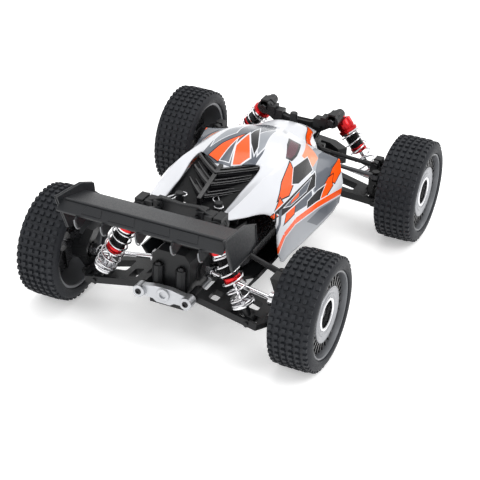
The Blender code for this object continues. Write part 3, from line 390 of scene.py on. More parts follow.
def wheel(end, label, side):
    """A knobbly tyre on a black wheel with a grey lip, a slotted ring and a silver hub disc."""
    centre = joint_point(f"{end}_wheel_{label}_spin")
    centre.y = abs(centre.y)
    out = centre + Y_AXIS
    body = f"{end}_wheel_{label}"

    def add(part, material, slot, solids, **more):
        piece(f"{end}_{part}_{label}", body, material, slot, solids, side, **more)

    add("tyre_tread", TYRE, "tyre_rubber", tyre_solids(centre), replaces=[f"{end}_tyre_{label}"])
    lip = [(12.3, RIM_RADIUS), (12.8, 26.9), (12.9, 26.4), (12.6, 25.9), (10.6, 25.3), (8.4, 25.2),
           (7.0, 25.2), (-11.8, 25.4), (-12.3, 25.9), (-12.3, RIM_RADIUS)]
    add("rim_lip", RIM_GREY, "rim_black", [turned(lip, centre, out, 80, loop=True)],
        replaces=[f"{end}_rim_{label}"])
    plate = turned([(8.2, 25.2), (8.2, 17.0), (6.4, 16.6), (6.4, 25.2)], centre, out, 64, loop=True)
    fins = []
    for i in range(SLOT_FINS):
        angle = 2 * math.pi * i / SLOT_FINS
        radial = Vector((math.cos(angle), 0, math.sin(angle)))
        along = Vector((-math.sin(angle + 0.5), 0, math.cos(angle + 0.5)))
        inner, outer = centre + radial * 17.2, centre + radial * 24.2 + along * 1.4
        half = along * 0.6
        low, high = Y_AXIS * 8.0, Y_AXIS * 10.4
        fins.append(joined_rings([[inner - half + low, inner + half + low, outer + half + low,
                                   outer - half + low],
                                  [inner - half + high, inner + half + high, outer + half + high * 0.98,
                                   outer - half + high * 0.98]]))
    add("wheel_slots", WHEEL_BLACK, "rim_black", [plate, *fins])
    disc = [(4.0, 17.5), (10.2, 17.5), (11.0, 17.2), (11.2, 16.6), (10.6, 15.8), (10.4, 13.4), (10.9, 12.8),
            (10.9, 12.0), (10.4, 11.4), (10.3, 10.4), (4.0, 10.4)]
    add("wheel_disc", WHEEL_SILVER, "rim_black", [turned(disc, centre, out, 64, loop=True)])
    ring = [(4.0, 10.3), (10.5, 10.3), (10.9, 9.9), (10.9, 8.9), (10.4, 8.4), (4.0, 8.4)]
    add("wheel_ring", POLISHED, "bright_steel", [turned(ring, centre, out, 64, loop=True)])
    cup = [(9.6, 8.5), (4.4, 7.6), (4.0, 0), (2.4, 0), (2.4, 8.5)]
    nut = turned([(3.8, 0), (3.8, 3.9), (4.4, 4.3), (4.9, 4.3), (4.9, 3.0), (8.2, 2.9), (8.5, 2.5),
                  (8.5, 0)], centre, out, 6)
    add("wheel_cup", WHEEL_BLACK, "rim_black", [turned(cup, centre, out, 48, loop=True)])
    add("wheel_nut", SCREW, "gear_steel", [nut])
    web = [(-0.5, 0), (-0.5, 6.2), (2.8, 6.6), (2.8, 24.0), (3.4, 24.0), (3.4, 0)]
    back = [turned(web, centre, out, 64)]
    for i in range(SPOKES):
        angle = 2 * math.pi * i / SPOKES
        radial = Vector((math.cos(angle), 0, math.sin(angle)))
        along = Vector((-math.sin(angle), 0, math.cos(angle))) * 0.7
        inner, outer = centre + radial * 5.8, centre + radial * 24.4
        low, high = Y_AXIS * 3.2, Y_AXIS * 0.2
        back.append(joined_rings([[inner - along + low, inner + along + low, outer + along + low,
                                   outer - along + low],
                                  [inner - along + high, inner + along + high, outer + along + low * 0.6,
                                   outer - along + low * 0.6]]))
    add("wheel_back", WHEEL_BLACK, "rim_black", back)
    cup_at = AXLE_CUP_Y[end] - centre.y
    stub = [(1.0, 0), (1.0, 2.4), (cup_at + 5.2, 2.4), (cup_at + 4.8, 4.0), (cup_at + 4.2, 4.3),
            (cup_at - 2.4, 4.3), (cup_at - 2.6, 4.1), (cup_at - 2.6, 3.3), (cup_at + 3.2, 3.3),
            (cup_at + 3.2, 0)]
    add("stub_axle", POLISHED, "bright_steel", [turned(stub, centre, out, 32)])


# ---- shocks ----
SHOCK_LENGTH = {"front": 53.5, "rear": 58.4}
BARREL_END = {"front": 29.5, "rear": 33.0}
PERCH_TO_FOOT = {"front": 10.2, "rear": 11.6}
SPRING_TURNS = {"front": 6, "rear": 7}
SPRING_TOP = 14.6
SPRING_RADIUS = 6.5
SPRING_WIRE = 0.6
THREAD_PITCH = 0.8


def shock(end, label, side):
    """A damper: red cap, ringed threaded body, red collar, spring, perch, rod and black eye."""
    top = joint_point(f"{end}_shock_{label}_swing")
    top.y = abs(top.y)
    slide = Vector(JOINTS[f"{end}_rod_{label}_slide"]["axis"])
    axis = Vector((0, abs(slide.y), -slide.z)).normalized()
    length = SHOCK_LENGTH[end]
    foot = top + axis * length
    barrel_end = BARREL_END[end]
    perch = length - PERCH_TO_FOOT[end]
    body, rod_body = f"{end}_shock_{label}", f"{end}_rod_{label}"

    def add(part, on, material, slot, solids, **more):
        return piece(f"{end}_{part}_{label}", on, material, slot, solids, side, **more)

    cap = [(2.0, 0), (2.0, 2.6), (3.2, 3.0), (3.9, 5.2), (4.6, 5.7), (10.2, 5.8), (10.5, 5.4), (10.9, 5.4),
           (11.2, 6.5), (13.0, 6.6), (13.2, 6.2), (13.2, 0)]
    add("shock_cap", body, RED, "red_anodised", [turned(cap, top, foot, 40)],
        replaces=[f"{end}_shock_body_{label}"])
    ring = [(13.2, 5.9), (13.4, 6.2), (14.3, 6.2), (14.5, 5.9), (14.5, 4.6), (13.2, 4.6)]
    add("shock_ring", body, POLISHED, "bright_steel", [turned(ring, top, foot, 40, loop=True)])
    add("shock_eye", body, NYLON, "black_nylon",
        [eye(top, 3.5, 1.5, 2.3), turned([(1.9, 0), (1.9, 2.3), (3.4, 2.9), (3.4, 0)], top, foot, 20)])
    threads = [(13.2, 2.4), (13.2, 4.9)]
    at = SPRING_TOP
    while at < barrel_end - 4.3:
        threads += [(at, 4.6), (at + THREAD_PITCH / 2, 5.0)]
        at += THREAD_PITCH
    threads += [(barrel_end - 4.0, 4.6), (barrel_end - 4.0, 2.4)]
    add("shock_barrel", body, THREAD_BLACK, "motor_can", [turned(threads, top, foot, 36, loop=True)])
    collar = [(barrel_end - 4.2, 2.2), (barrel_end - 4.2, 5.0), (barrel_end - 3.8, 5.35),
              (barrel_end - 2.4, 5.35), (barrel_end - 2.1, 5.0), (barrel_end - 1.8, 5.35),
              (barrel_end - 0.4, 5.35), (barrel_end, 4.8), (barrel_end, 2.2)]
    add("shock_collar", body, RED, "red_anodised", [turned(collar, top, foot, 36, loop=True)])
    spring_from, spring_to = SPRING_TOP + SPRING_WIRE, perch - SPRING_WIRE
    wound = coil(top + axis * spring_from, top + axis * spring_to, SPRING_RADIUS, SPRING_WIRE,
                 SPRING_TURNS[end])
    spring = piece(f"{end}_coil_{label}", body, SPRING, "spring_steel", [wound], side)
    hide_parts(f"{end}_spring_{label}")
    spring.parent = None
    spring.matrix_world = Matrix.Identity(4)
    del spring["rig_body"]
    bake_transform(spring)
    shaft = turned([(barrel_end - 5.0, 0), (barrel_end - 5.0, 1.3), (perch + 1, 1.3), (perch + 1, 0)],
                   top, foot, 20)
    add("shock_shaft", rod_body, POLISHED, "bright_steel", [shaft], replaces=[f"{end}_shock_rod_{label}"])
    seat = [(perch, 1.3), (perch, 7.0), (perch + 0.4, 7.3), (perch + 1.3, 7.3), (perch + 1.7, 6.6),
            (perch + 2.0, 3.6), (perch + 2.0, 1.3)]
    add("shock_perch", rod_body, POLISHED, "bright_steel", [turned(seat, top, foot, 40, loop=True)])
    neck = turned([(perch + 1.8, 0), (perch + 1.8, 2.9), (length - 3.6, 2.5), (length - 2.6, 2.2),
                   (length - 2.6, 0)], top, foot, 20)
    add("shock_foot", rod_body, NYLON, "black_nylon", [neck, eye(foot, 3.6, 1.5, 2.4)])


# ---- links, drive shafts ----
LINK_CUP_RADIUS = 3.1
FRONT_LINK_OUTER_Z = 50.5


def link(end, label, side):
    """The adjustable upper link: a rod with a moulded ball cup at each end."""
    start = joint_point(f"{end}_link_{label}_swing")
    start.y = abs(start.y)
    low, high = node_box(f"{end}_camber_link_{label}")
    outer_y = max(abs(low.y), abs(high.y)) - LINK_CUP_RADIUS
    outer_z = low.z + LINK_CUP_RADIUS if end == "rear" else FRONT_LINK_OUTER_Z
    stop = Vector((start.x, outer_y, outer_z))
    shaft = rod(start.lerp(stop, 0.12), start.lerp(stop, 0.88), 1.5)
    solids = [shaft]
    for a, b in ((start, stop), (stop, start)):
        solids.append(eye(a, LINK_CUP_RADIUS, 1.5, 1.9))
        solids.append(turned([(2.2, 0), (2.2, 2.0), (8.5, 1.9), (9.3, 1.5), (9.3, 0)], a, b, 8))
    piece(f"{end}_upper_link_{label}", f"{end}_link_{label}", NYLON, "black_nylon", solids, side,
          replaces=[f"{end}_camber_link_{label}"])


def drive_shaft(end, label, side):
    """The drive shaft: a round bar with a ball at each end."""
    start = joint_point(f"{end}_dogbone_{label}_swing")
    start.y = abs(start.y)
    stop = Vector((start.x, AXLE_CUP_Y[end], TYRE_RADIUS))
    length = (stop - start).length
    ball = [(-1.9, 0), (-1.6, 1.0), (-0.9, 1.65), (0, 1.85), (0.9, 1.7), (1.6, 1.55)]
    profile = ball + [(length - d, r) for d, r in reversed(ball)]
    piece(f"{end}_drive_shaft_{label}", f"{end}_dogbone_{label}", POLISHED, "bright_steel",
          [turned(profile, start, stop, 24)], side, replaces=[f"{end}_dogbone_{label}"])


# ---- body shell ----
# Stations along the shell: x, then (y, z) from the centreline out to the bottom edge.
STATIONS = [
    (90.0, [(0, 68.5), (7, 68.0), (14.0, 66.0), (17.0, 64.0), (18.5, 62.0), (19.5, 60.5), (20.0, 59.5)]),
    (76.0, [(0, 75.0), (8, 74.3), (15.0, 71.5), (18.5, 66.5), (20.5, 63.0), (21.5, 60.5), (22.0, 58.5)]),
    (62.0, [(0, 78.5), (8, 78.0), (15.0, 75.5), (21.5, 71.0), (25.5, 67.0), (27.5, 62.0), (28.5, 57.0)]),
    (53.0, [(0, 81.0), (8, 80.3), (15.5, 77.8), (26.0, 73.0), (33.0, 68.5), (36.5, 58.0), (37.5, 46.0)]),
    (48.0, [(0, 82.5), (8, 81.8), (15.5, 79.0), (30.5, 73.5), (48.5, 70.0), (52.0, 54.0), (50.5, 36.5)]),
    (28.0, [(0, 89.5), (9, 89.0), (17.5, 86.5), (29.5, 79.5), (45.0, 68.5), (51.5, 54.5), (50.0, 35.5)]),
    (8.0, [(0, 94.5), (11, 93.5), (20.0, 90.0), (29.0, 83.0), (41.5, 70.5), (50.5, 55.5), (49.0, 35.0)]),
    (-12.0, [(0, 93.5), (11, 92.5), (20.5, 88.0), (29.0, 84.0), (39.0, 73.5), (49.0, 57.5), (48.0, 35.0)]),
    (-28.0, [(0, 88.5), (11, 87.5), (21.0, 85.0), (28.5, 85.5), (37.0, 76.0), (47.0, 59.5), (47.0, 35.5)]),
    (-41.0, [(0, 83.0), (9, 82.0), (19.5, 81.5), (28.0, 85.0), (35.8, 75.5), (43.0, 62.0), (45.5, 36.0)]),
    (-62.0, [(0, 76.0), (8, 76.0), (17.5, 77.0), (27.0, 83.0), (33.0, 75.5), (35.0, 70.0), (35.5, 67.0)]),
    (-79.0, [(0, 75.0), (8, 75.0), (18.0, 75.0), (24.0, 80.0), (28.5, 78.5), (30.5, 76.5), (31.5, 74.5)]),
]
CREASES = (3, 4, 5)
POD_FRONT = (3, 4)
ALONG_STEPS = 10
ACROSS_STEPS = 9
LAST_COLUMN = len(STATIONS[0][1]) - 1


def spline(points, at, sharp=()):
    """A Catmull-Rom curve through points at a position counted in points; sharp ones are corners."""
    i = min(int(at), len(points) - 2)
    t = at - i
    p1, p2 = Vector(points[i]), Vector(points[i + 1])
    p0 = Vector(points[i - 1]) if i > 0 and i not in sharp else 2 * p1 - p2
    p3 = Vector(points[i + 2]) if i + 2 < len(points) and i + 1 not in sharp else 2 * p2 - p1
    return ((2 * p1) + (p2 - p0) * t + (2 * p0 - 5 * p1 + 4 * p2 - p3) * t * t
            + (3 * p1 - p0 - 3 * p2 + p3) * t ** 3) / 2


def shell_point(along, across):
    """A point of the shell's left half: along counts stations from the nose, across from the centreline."""
    column = [spline([(x, *half[i]) for x, half in STATIONS], along, POD_FRONT if i > 2 else ())
              for i in range(LAST_COLUMN + 1)]
    return spline(column, across, CREASES)


def along_of(x):
    """The station count at a place x."""
    stations = [station[0] for station in STATIONS]
    for i, (front, back) in enumerate(zip(stations, stations[1:])):
        if x >= back:
            return i + (front - x) / (front - back)
    return float(len(stations) - 1)


def shell_kept(x, across):
    """Whether the shell has material here: not in the hatch, nor where the pods and the nose end."""
    in_hatch = across < 2.05 - (x + 17) * 0.0033 and x < -17 - 17 * (1 - across / 2.05)
    behind_pod = x < -41 and across > 4.5 + (x + 41) * 0.02
    below_nose = x > 78 and across > 2.5
    return not (in_hatch or behind_pod or below_nose)


def smooth_rims(bm, rounds=14):
    """Even out the stepped edges that are left where faces were dropped."""
    rims = {}
    for vert in bm.verts:
        beside = [edge.other_vert(vert) for edge in vert.link_edges if edge.is_boundary]
        if len(beside) == 2:
            rims[vert] = beside
    for _ in range(rounds):
        moved = {vert: vert.co / 2 + (a.co + b.co) / 4 for vert, (a, b) in rims.items()}
        for vert, place in moved.items():
            vert.co = place


def body_shell():
    """The painted lexan shell as a thin sheet, its edges trimmed along the openings."""
    bm = bmesh.new()
    rows = []
    alongs = [i / ALONG_STEPS for i in range((len(STATIONS) - 1) * ALONG_STEPS + 1)]
    acrosses = [i / ACROSS_STEPS for i in range(LAST_COLUMN * ACROSS_STEPS + 1)]
    for along in alongs:
        left = [shell_point(along, a) for a in acrosses]
        line = [Vector((p.x, -p.y, p.z)) for p in reversed(left)] + left[1:]
        rows.append([bm.verts.new(p * MM) for p in line])
    middle = len(acrosses) - 1
    for front, back in zip(rows, rows[1:]):
        for j in range(len(front) - 1):
            x = (front[j].co.x + back[j].co.x) / 2 / MM
            across = abs(j + 0.5 - middle) / ACROSS_STEPS
            if shell_kept(x, across):
                bm.faces.new((front[j], back[j], back[j + 1], front[j + 1]))
    bmesh.ops.delete(bm, geom=[v for v in bm.verts if not v.link_faces], context="VERTS")
    smooth_rims(bm)
    bmesh.ops.recalc_face_normals(bm, faces=bm.faces)
    top = max(bm.faces, key=lambda f: f.calc_center_median().z)
    if top.normal.z < 0:
        bmesh.ops.reverse_faces(bm, faces=bm.faces)
    mesh = bpy.data.meshes.new("shell_paint")
    bm.to_mesh(mesh)
    bm.free()
    made = bpy.data.objects.new("shell_paint", mesh)
    bpy.context.scene.collection.objects.link(made)
    mesh.materials.append(shell_finish())
    mesh.shade_smooth()
    mesh.set_sharp_from_angle(angle=math.radians(38))
    wall = made.modifiers.new("wall", "SOLIDIFY")
    wall.thickness = 0.9 * MM
    wall.offset = -1.0
    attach(made, "body_shell")
    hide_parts("body_shell")


WHITE = (0.62, 0.63, 0.66, 1)
ORANGE = (0.86, 0.085, 0.004, 1)
PALE_ORANGE = (0.72, 0.24, 0.12, 1)
GREY = (0.085, 0.095, 0.115, 1)
PALE_GREY = (0.25, 0.265, 0.29, 1)
BLACK = (0.006, 0.006, 0.007, 1)
MAROON = (0.07, 0.012, 0.025, 1)

# Painted shapes: fill, outline, outline width, corner points. Each is the area on the inner side of all
# its edges, so it is convex even where its corners are not. On the flank a point is (x, z - |y|), which
# falls from the crest to the sill; on the roof it is (x, y).
FLANK_SHAPES = [
    (PALE_GREY, None, 0, [(66, 40), (72, 24), (48, 14), (24, 14), (27, 34), (44, 44)]),
    (GREY, None, 0, [(66, 34), (70, 22), (46, 10), (24, 8), (29, 25), (48, 36)]),
    (PALE_ORANGE, None, 0, [(48, 52), (44, 34), (32, 32), (24, 47)]),
    (ORANGE, BLACK, 0.9, [(84, 60), (80, 52), (52, 46), (49, 51)]),
    (ORANGE, BLACK, 1.2, [(5, 51), (5, 38), (-12, 30), (-27, 34), (-15, 43)]),
    (ORANGE, BLACK, 1.0, [(-24, 34), (-20, 22), (-40, 25)]),
    (BLACK, WHITE, 0.9, [(31, 42), (30, 30), (5, 31), (-3, 35), (7, 45)]),
    (GREY, WHITE, 0.8, [(22, 17), (20, 8), (-16, 15), (-10, 21)]),
    (ORANGE, BLACK, 0.8, [(-6, 20), (-12, 14), (-27, 14), (-18, 23)]),
    (BLACK, WHITE, 0.9, [(32, 27), (28, 17), (-28, 21), (-34, 28)]),
    (GREY, WHITE, 0.5, [(24, 25.5), (14, 20), (-14, 22), (-22, 25)]),
    (ORANGE, None, 0, [(4, 24.5), (0, 22.3), (-13, 23), (-7, 24.5)]),
    (ORANGE, BLACK, 0.9, [(79, 24), (74, 8), (60, 4), (52, 12), (56, 17)]),
    (ORANGE, BLACK, 0.9, [(58, 12), (56, 4), (30, 0), (31, 6), (50, 13)]),
    (BLACK, WHITE, 0.7, [(44, 10), (26, 2), (6, 5), (12, 12), (30, 12)]),
    (MAROON, BLACK, 2.2, [(30, 64), (34, 56), (17, 52.5), (9, 52.5), (5, 59)]),
    (ORANGE, None, 0, [(-47, 27), (-46, 20), (-66, 38), (-66, 44)]),
    (ORANGE, BLACK, 0.6, [(-40, 28), (-37, 28), (-44, 14), (-47, 14)]),
    (BLACK, None, 0, [(-34, 28), (-31.5, 28), (-39, 12), (-41.5, 12)]),
    (GREY, None, 0, [(-29, 26), (-25, 26), (-35, 10), (-38.5, 10)]),
]
SILL_SHAPES = [
    (PALE_GREY, WHITE, 1.2, [(80, -11.5), (25, -0.5), (-12, 5.5), (-24, 4), (-38, -8), (-44, -16),
                             (90, -20)]),
    (GREY, None, 0, [(80, -13), (30, -3), (8, -2), (30, -14), (84, -18)]),
]
RIDGE = [(80, -9.5), (25, 2.5), (-12, 8.0), (-26, 5.5), (-42, -9)]
ROOF_SHAPES = [
    (GREY, None, 0, [(48, -3), (48, 3), (20, 12.5), (-8, 17.5), (-30, 18.5), (-30, -18.5), (-8, -17.5),
                     (20, -12.5)]),
    (PALE_GREY, WHITE, 0.7, [(30, 9.5), (3, 6), (-14, 15), (-6, 16.5)]),
    (PALE_GREY, WHITE, 0.7, [(34, -9), (8, -7), (-12, -15.5), (-2, -16)]),
    (BLACK, WHITE, 0.6, [(22, -2), (2, -3), (-14, -14), (-6, -13)]),
    (ORANGE, BLACK, 0.9, [(3, 0), (-12, 8), (-24, 12), (-28, 4)]),
    (ORANGE, WHITE, 1.0, [(5, -2), (-12, -1), (-28, -6), (-26, -10), (-18, -13)]),
    (GREY, WHITE, 0.6, [(-6, 1.4), (-27, 3), (-27, -3)]),
]


def signed_distance(graph, place, corners):
    """How far inside a convex outline a point is; place is (a, b, 1) as a vector socket."""
    area = sum(a[0] * b[1] - b[0] * a[1] for a, b in zip(corners, corners[1:] + corners[:1]))
    turn = 1 if area > 0 else -1
    inside = None
    for a, b in zip(corners, corners[1:] + corners[:1]):
        edge = Vector((b[0] - a[0], b[1] - a[1]))
        normal = Vector((-edge.y, edge.x)).normalized() * turn
        offset = -(normal.x * a[0] + normal.y * a[1])
        reach = graph.node("ShaderNodeVectorMath", {0: place, 1: (normal.x, normal.y, offset)},
                           operation="DOT_PRODUCT").outputs["Value"]
        inside = reach if inside is None else graph.math("MINIMUM", inside, reach)
    return inside


def painted(graph, colour, place, shapes, allowed):
    """The colour with each shape and its outline painted on where allowed is 1."""
    for fill, outline, width, corners in shapes:
        inside = signed_distance(graph, place, corners)
        if outline:
            mask = graph.math("MULTIPLY", graph.math("GREATER_THAN", inside, -width), allowed)
            colour = graph.mix(mask, colour, outline)
        mask = graph.math("MULTIPLY", graph.math("GREATER_THAN", inside, 0.0), allowed)
        colour = graph.mix(mask, colour, fill)
    return colour


def shell_finish():
    """White paint under clear gloss, with angular orange, black and grey shapes."""
    graph = Graph("shell_paint")
    scaled = graph.node("ShaderNodeVectorMath", {0: graph.place, 3: 1 / MM}, operation="SCALE").outputs[0]
    split = graph.node("ShaderNodeSeparateXYZ", {0: scaled}).outputs
    width = graph.math("ABSOLUTE", split[1])
    drop = graph.math("SUBTRACT", split[2], width)
    # The pods stand out from the sides, so their artwork is laid out further back and higher.
    reach = graph.spread(split[0], 6.0, 27.0, -46.0, 54.0)
    low_down = graph.spread(drop, 1.0, 0.0, 10.0, 50.0)
    shift = graph.math("MULTIPLY", reach, low_down)
    art_x = graph.math("ADD", split[0], shift)
    art_drop = graph.math("SUBTRACT", drop, graph.math("MULTIPLY", shift, 0.16))
    flank = graph.node("ShaderNodeCombineXYZ", {0: art_x, 1: art_drop, 2: 1.0}).outputs[0]
    roof = graph.node("ShaderNodeCombineXYZ", {0: split[0], 1: split[1], 2: 1.0}).outputs[0]
    crest = graph.node("ShaderNodeMapRange", {"Value": split[0], "From Min": -30.0, "From Max": 30.0,
                                              "To Min": 38.0, "To Max": 70.0}).outputs[0]
    below_crest = graph.math("LESS_THAN", drop, crest)
    on_roof = graph.math("GREATER_THAN", drop, graph.math("ADD", crest, 2.0))
    shade = graph.mix(graph.noise(25.0), (0.57, 0.58, 0.61, 1), (0.62, 0.63, 0.66, 1))
    colour = painted(graph, shade, roof, ROOF_SHAPES, on_roof)
    colour = painted(graph, colour, flank, FLANK_SHAPES, below_crest)
    colour = painted(graph, colour, flank, SILL_SHAPES, below_crest)
    for a, b in zip(RIDGE, RIDGE[1:]):
        edge = Vector((b[0] - a[0], b[1] - a[1])).normalized()
        normal = Vector((-edge.y, edge.x))
        for half, fill in ((2.9, WHITE), (2.1, ORANGE)):
            corners = [tuple(Vector(p) + s * normal * half) for p, s in ((a, 1), (b, 1), (b, -1), (a, -1))]
            colour = painted(graph, colour, flank, [(fill, None, 0, corners)], below_crest)
    graph.put(graph.shader.inputs["Base Color"], colour)
    graph.put(graph.shader.inputs["Roughness"], graph.spread(graph.noise(120.0), 0.16, 0.26))
    graph.shader.inputs["Specular IOR Level"].default_value = 0.3
    graph.shader.inputs["Coat Weight"].default_value = 0.12
    graph.shader.inputs["Coat Roughness"].default_value = 0.06
    graph.bump(graph.noise(45.0), 0.12, 0.0006)
    return graph.material


# ---- hatch and clips on the shell ----
def chevron(apex, half_width, sweep, depth, low, high):
    """A V-shaped slab: its rear edge has its apex on the centreline and its arms sweep forward."""
    steps = 6
    front, rear = [], []
    for i in range(-steps, steps + 1):
        y = half_width * i / steps
        back = apex + sweep * (abs(y) / half_width) ** 1.1
        front.append((back + depth, y))
        rear.append((back, y))
    return prism(front + rear[::-1], "z", low, high)


def hatch():
    """The glossy black louvred panel in the roof's tail, over a dark floor."""
    floor = bmesh.new()
    rows = []
    for i in range(13):
        x = -15.0 - 3.8 * i
        row = []
        for j in range(13):
            y = -21.5 + 43 * j / 12
            skin = shell_point(along_of(x), min(abs(y) / 10.5, 2.1))
            row.append(floor.verts.new((x, y, skin.z - 3.2)))
        rows.append(row)
    for front, back in zip(rows, rows[1:]):
        for a, b, c, d in zip(front, back, back[1:], front[1:]):
            floor.faces.new((a, b, c, d))
    bmesh.ops.solidify(floor, geom=floor.faces[:], thickness=0.8)
    piece("hatch_floor", "body_shell", NYLON, "painted_shell", [floor])
    for i, (apex, top, half) in enumerate(((-40.5, 87.0, 20.6), (-49.5, 83.2, 19.6), (-58.5, 79.0, 18.4))):
        slats = [chevron(apex, half, 19.0, 8.8, top - 5.5, top - 1.2),
                 chevron(apex, half - 0.4, 19.0, 2.4, top - 1.6, top),
                 chevron(apex + 4.6, half - 0.8, 19.0, 2.2, top - 1.6, top + 0.2)]
        piece(f"hatch_louvre_{i + 1}", "body_shell", GLOSS_BLACK, "painted_shell", slats, bevel=0.5)
    spine = prism([(-31.0, 85), (-31.0, 88.6), (-62, 79.2), (-62, 74)], "y", -1.5, 1.5)
    piece("hatch_spine", "body_shell", GLOSS_BLACK, "painted_shell", [spine], bevel=0.5)


def tube(points, radius, sides=10):
    """A round wire through points."""
    rings = []
    for i, point in enumerate(points):
        before, after = points[max(i - 1, 0)], points[min(i + 1, len(points) - 1)]
        axis = (Vector(after) - Vector(before)).normalized()
        side = axis.cross(UP if abs(axis.z) < 0.9 else X_AXIS).normalized()
        up = side.cross(axis)
        angles = [2 * math.pi * k / sides for k in range(sides)]
        rings.append([Vector(point) + radius * (side * math.cos(a) + up * math.sin(a)) for a in angles])
    return joined_rings(rings)


def clip(name, at, heading, body):
    """An R-clip of sprung wire: one straight leg, one leg bent over the post, and a round eye."""
    leg = [(12, -1.4), (3, -1.4)]
    loop = [(-2.2 + 2.6 * math.cos(math.radians(a)), 0.1 + 2.6 * math.sin(math.radians(a)))
            for a in range(-40, -341, -25)]
    bent = [(1.0, 1.2), (3.0, 0.6), (5.0, 1.9), (7.0, 2.3), (9.0, 1.4), (11.5, 0.8), (13.0, 1.8)]
    turn = Matrix.Rotation(math.radians(heading), 3, "Z")
    points = [Vector(at) + turn @ Vector((a, b, 0)) for a, b in leg + loop + bent]
    piece(name, body, POLISHED, "bright_steel", [tube(points, 0.45)])


# ---- wing ----
FIN_PLACES = (-38.5, -21.8, 0.0, 21.8, 38.5)
PANELS = ((-30.0, 12.5), (-10.9, 16.5), (10.9, 16.5), (30.0, 12.5))


def wing():
    """The rear wing: a cranked deck with a lip panel, gusset fins, end plates and mounts."""
    low, high = node_box("rear_wing")
    half = high.y - 1.4
    rear = low.x
    deck = prism([(-105.0, 90.6), (-112.0, 92.8), (-131.5, 97.6), (rear + 1.3, 93.6), (rear + 1.9, 92.0),
                  (-131.2, 95.8), (-112.0, 91.0), (-105.2, 89.0)], "y", -half, half)
    piece("wing_deck", "root", WING_BLACK, "black_nylon", [deck], bevel=0.35, replaces=["rear_wing"])
    plate = [(-138.0, 101.0), (-111.0, 98.0), (-97.0, 92.0), (-94.0, 79.0), (-104.0, 76.0), (-126.0, 76.0)]
    rims = []
    for s in (-1, 1):
        rims.append(prism(plate, "y", *sorted((s * (half - 0.4), s * (high.y - 0.5)))))
        edge = [Vector((a, s * (high.y - 0.35), b)) for a, b in plate]
        rims.append(tube(edge + [edge[0]], 0.45, 8))
    piece("wing_end_plates", "root", WING_BLACK, "black_nylon", rims, bevel=0.2)
    fins = []
    for y in FIN_PLACES:
        outer = [(rear + 0.6, 92.2)]
        outer += [(rear + 5.5 + 5.5 * math.cos(math.radians(a)), 92.0 + 8.0 * math.sin(math.radians(a)))
                  for a in range(190, 281, 15)]
        fins.append(prism(outer + [(-121.0, 88.0), (-119.0, 93.6), (-131.0, 96.6)], "y", y - 0.6, y + 0.6))
    piece("wing_fins", "root", WING_BLACK, "black_nylon", fins, bevel=0.2)
    # Thin grey tubes along the fins' curved edges; their lighter colour is a painted highlight.
    edges = []
    for y in FIN_PLACES:
        line = [(rear + 5.0 + 6.0 * math.cos(math.radians(a)), y, 92.0 + 8.6 * math.sin(math.radians(a)))
                for a in range(185, 281, 12)]
        edges.append(tube(line, 0.42, 8))
    piece("wing_fin_edges", "root", FIN_EDGE_HIGHLIGHT_GREY, "black_nylon", edges)
    panels = []
    slope = Vector((rear + 131.5, 0, -5.0)).normalized()
    for y, width in PANELS:
        base = Vector((-131.5, y, 97.6))
        ring = []
        for along, across in ((1.2, -0.36), (1.2, 0.36), (6.8, 0.5), (6.8, -0.5)):
            ring.append(base + slope * along + Y_AXIS * (across * width))
        lift = Vector((slope.z, 0, -slope.x))
        if lift.z < 0:
            lift = -lift
        panels.append(joined_rings([[p - lift * 0.3 for p in ring], [p + lift * 0.55 for p in ring]]))
    ridge_outline = [(-130.6, 97.5), (-132.4, 97.5), (-132.2, 98.3), (-130.8, 98.3)]
    ridge = [prism(ridge_outline, "y", 2 - half, half - 2)]
    piece("wing_lip_panels", "root", WING_BLACK, "black_nylon", panels + ridge, bevel=0.25)
    arms = []
    for s in (-1, 1):
        arm = [(-87.1, 66.0), (-87.1, 82.0), (-100.0, 87.5), (-118.0, 93.4), (-118.0, 90.0), (-101.0, 84.0),
               (-93.0, 76.0), (-93.0, 66.0)]
        arms.append(prism(arm, "y", *sorted((s * 11.0, s * 14.0))))
    piece("wing_arms", "root", NYLON, "black_nylon", arms, bevel=0.4)


# ---- towers, pin holder, posts and brace ----
def tower(name, node, x, half, tops, boss_to, pin_to, nut_to, blocks):
    """A shock tower: a plate with a raised rim, and a boss, pin and nut for each shock."""
    outline = half + [(-y, z) for y, z in reversed(half)]
    outward = 1 if pin_to > x[1] else -1
    y, z = tops
    solids = [prism(outline, "x", *x)]
    face = x[1] if outward > 0 else x[0]
    rim = [Vector((face, a, b)) for a, b in outline]
    solids.append(tube(rim + [rim[0]], 0.8, 8))
    middle = sum(x) / 2
    for s in (-1, 1):
        solids.append(rod((middle, s * y, z), (boss_to, s * y, z), 4.6))
        solids.append(rod((middle, s * y, z), (nut_to, s * y, z), 4.8))
        for dy, dz, reach in blocks:
            low, high = sorted((s * (y + dy - 2.6), s * (y + dy + 2.6)))
            solids.append(slab((middle - reach, middle + reach), (low, high), (z + dz - 3.2, z + dz + 3.2)))
    piece(name, "root", NYLON, "black_nylon", solids, bevel=0.5, replaces=[node])
    pins = []
    for s in (-1, 1):
        pins.append(rod((middle, s * y, z), (pin_to, s * y, z), 1.35))
        pins.append(screw((pin_to - 1.1 * outward, s * y, z), (outward, 0, 0), 2.7, 1.3))
        pins.append(turned([(0, 2.6), (1.6, 2.6), (2.0, 2.2), (2.0, 0)],
                           (nut_to, s * y, z), (nut_to - outward, s * y, z), 6))
    piece(name + "_pins", "root", SCREW, "gear_steel", pins)


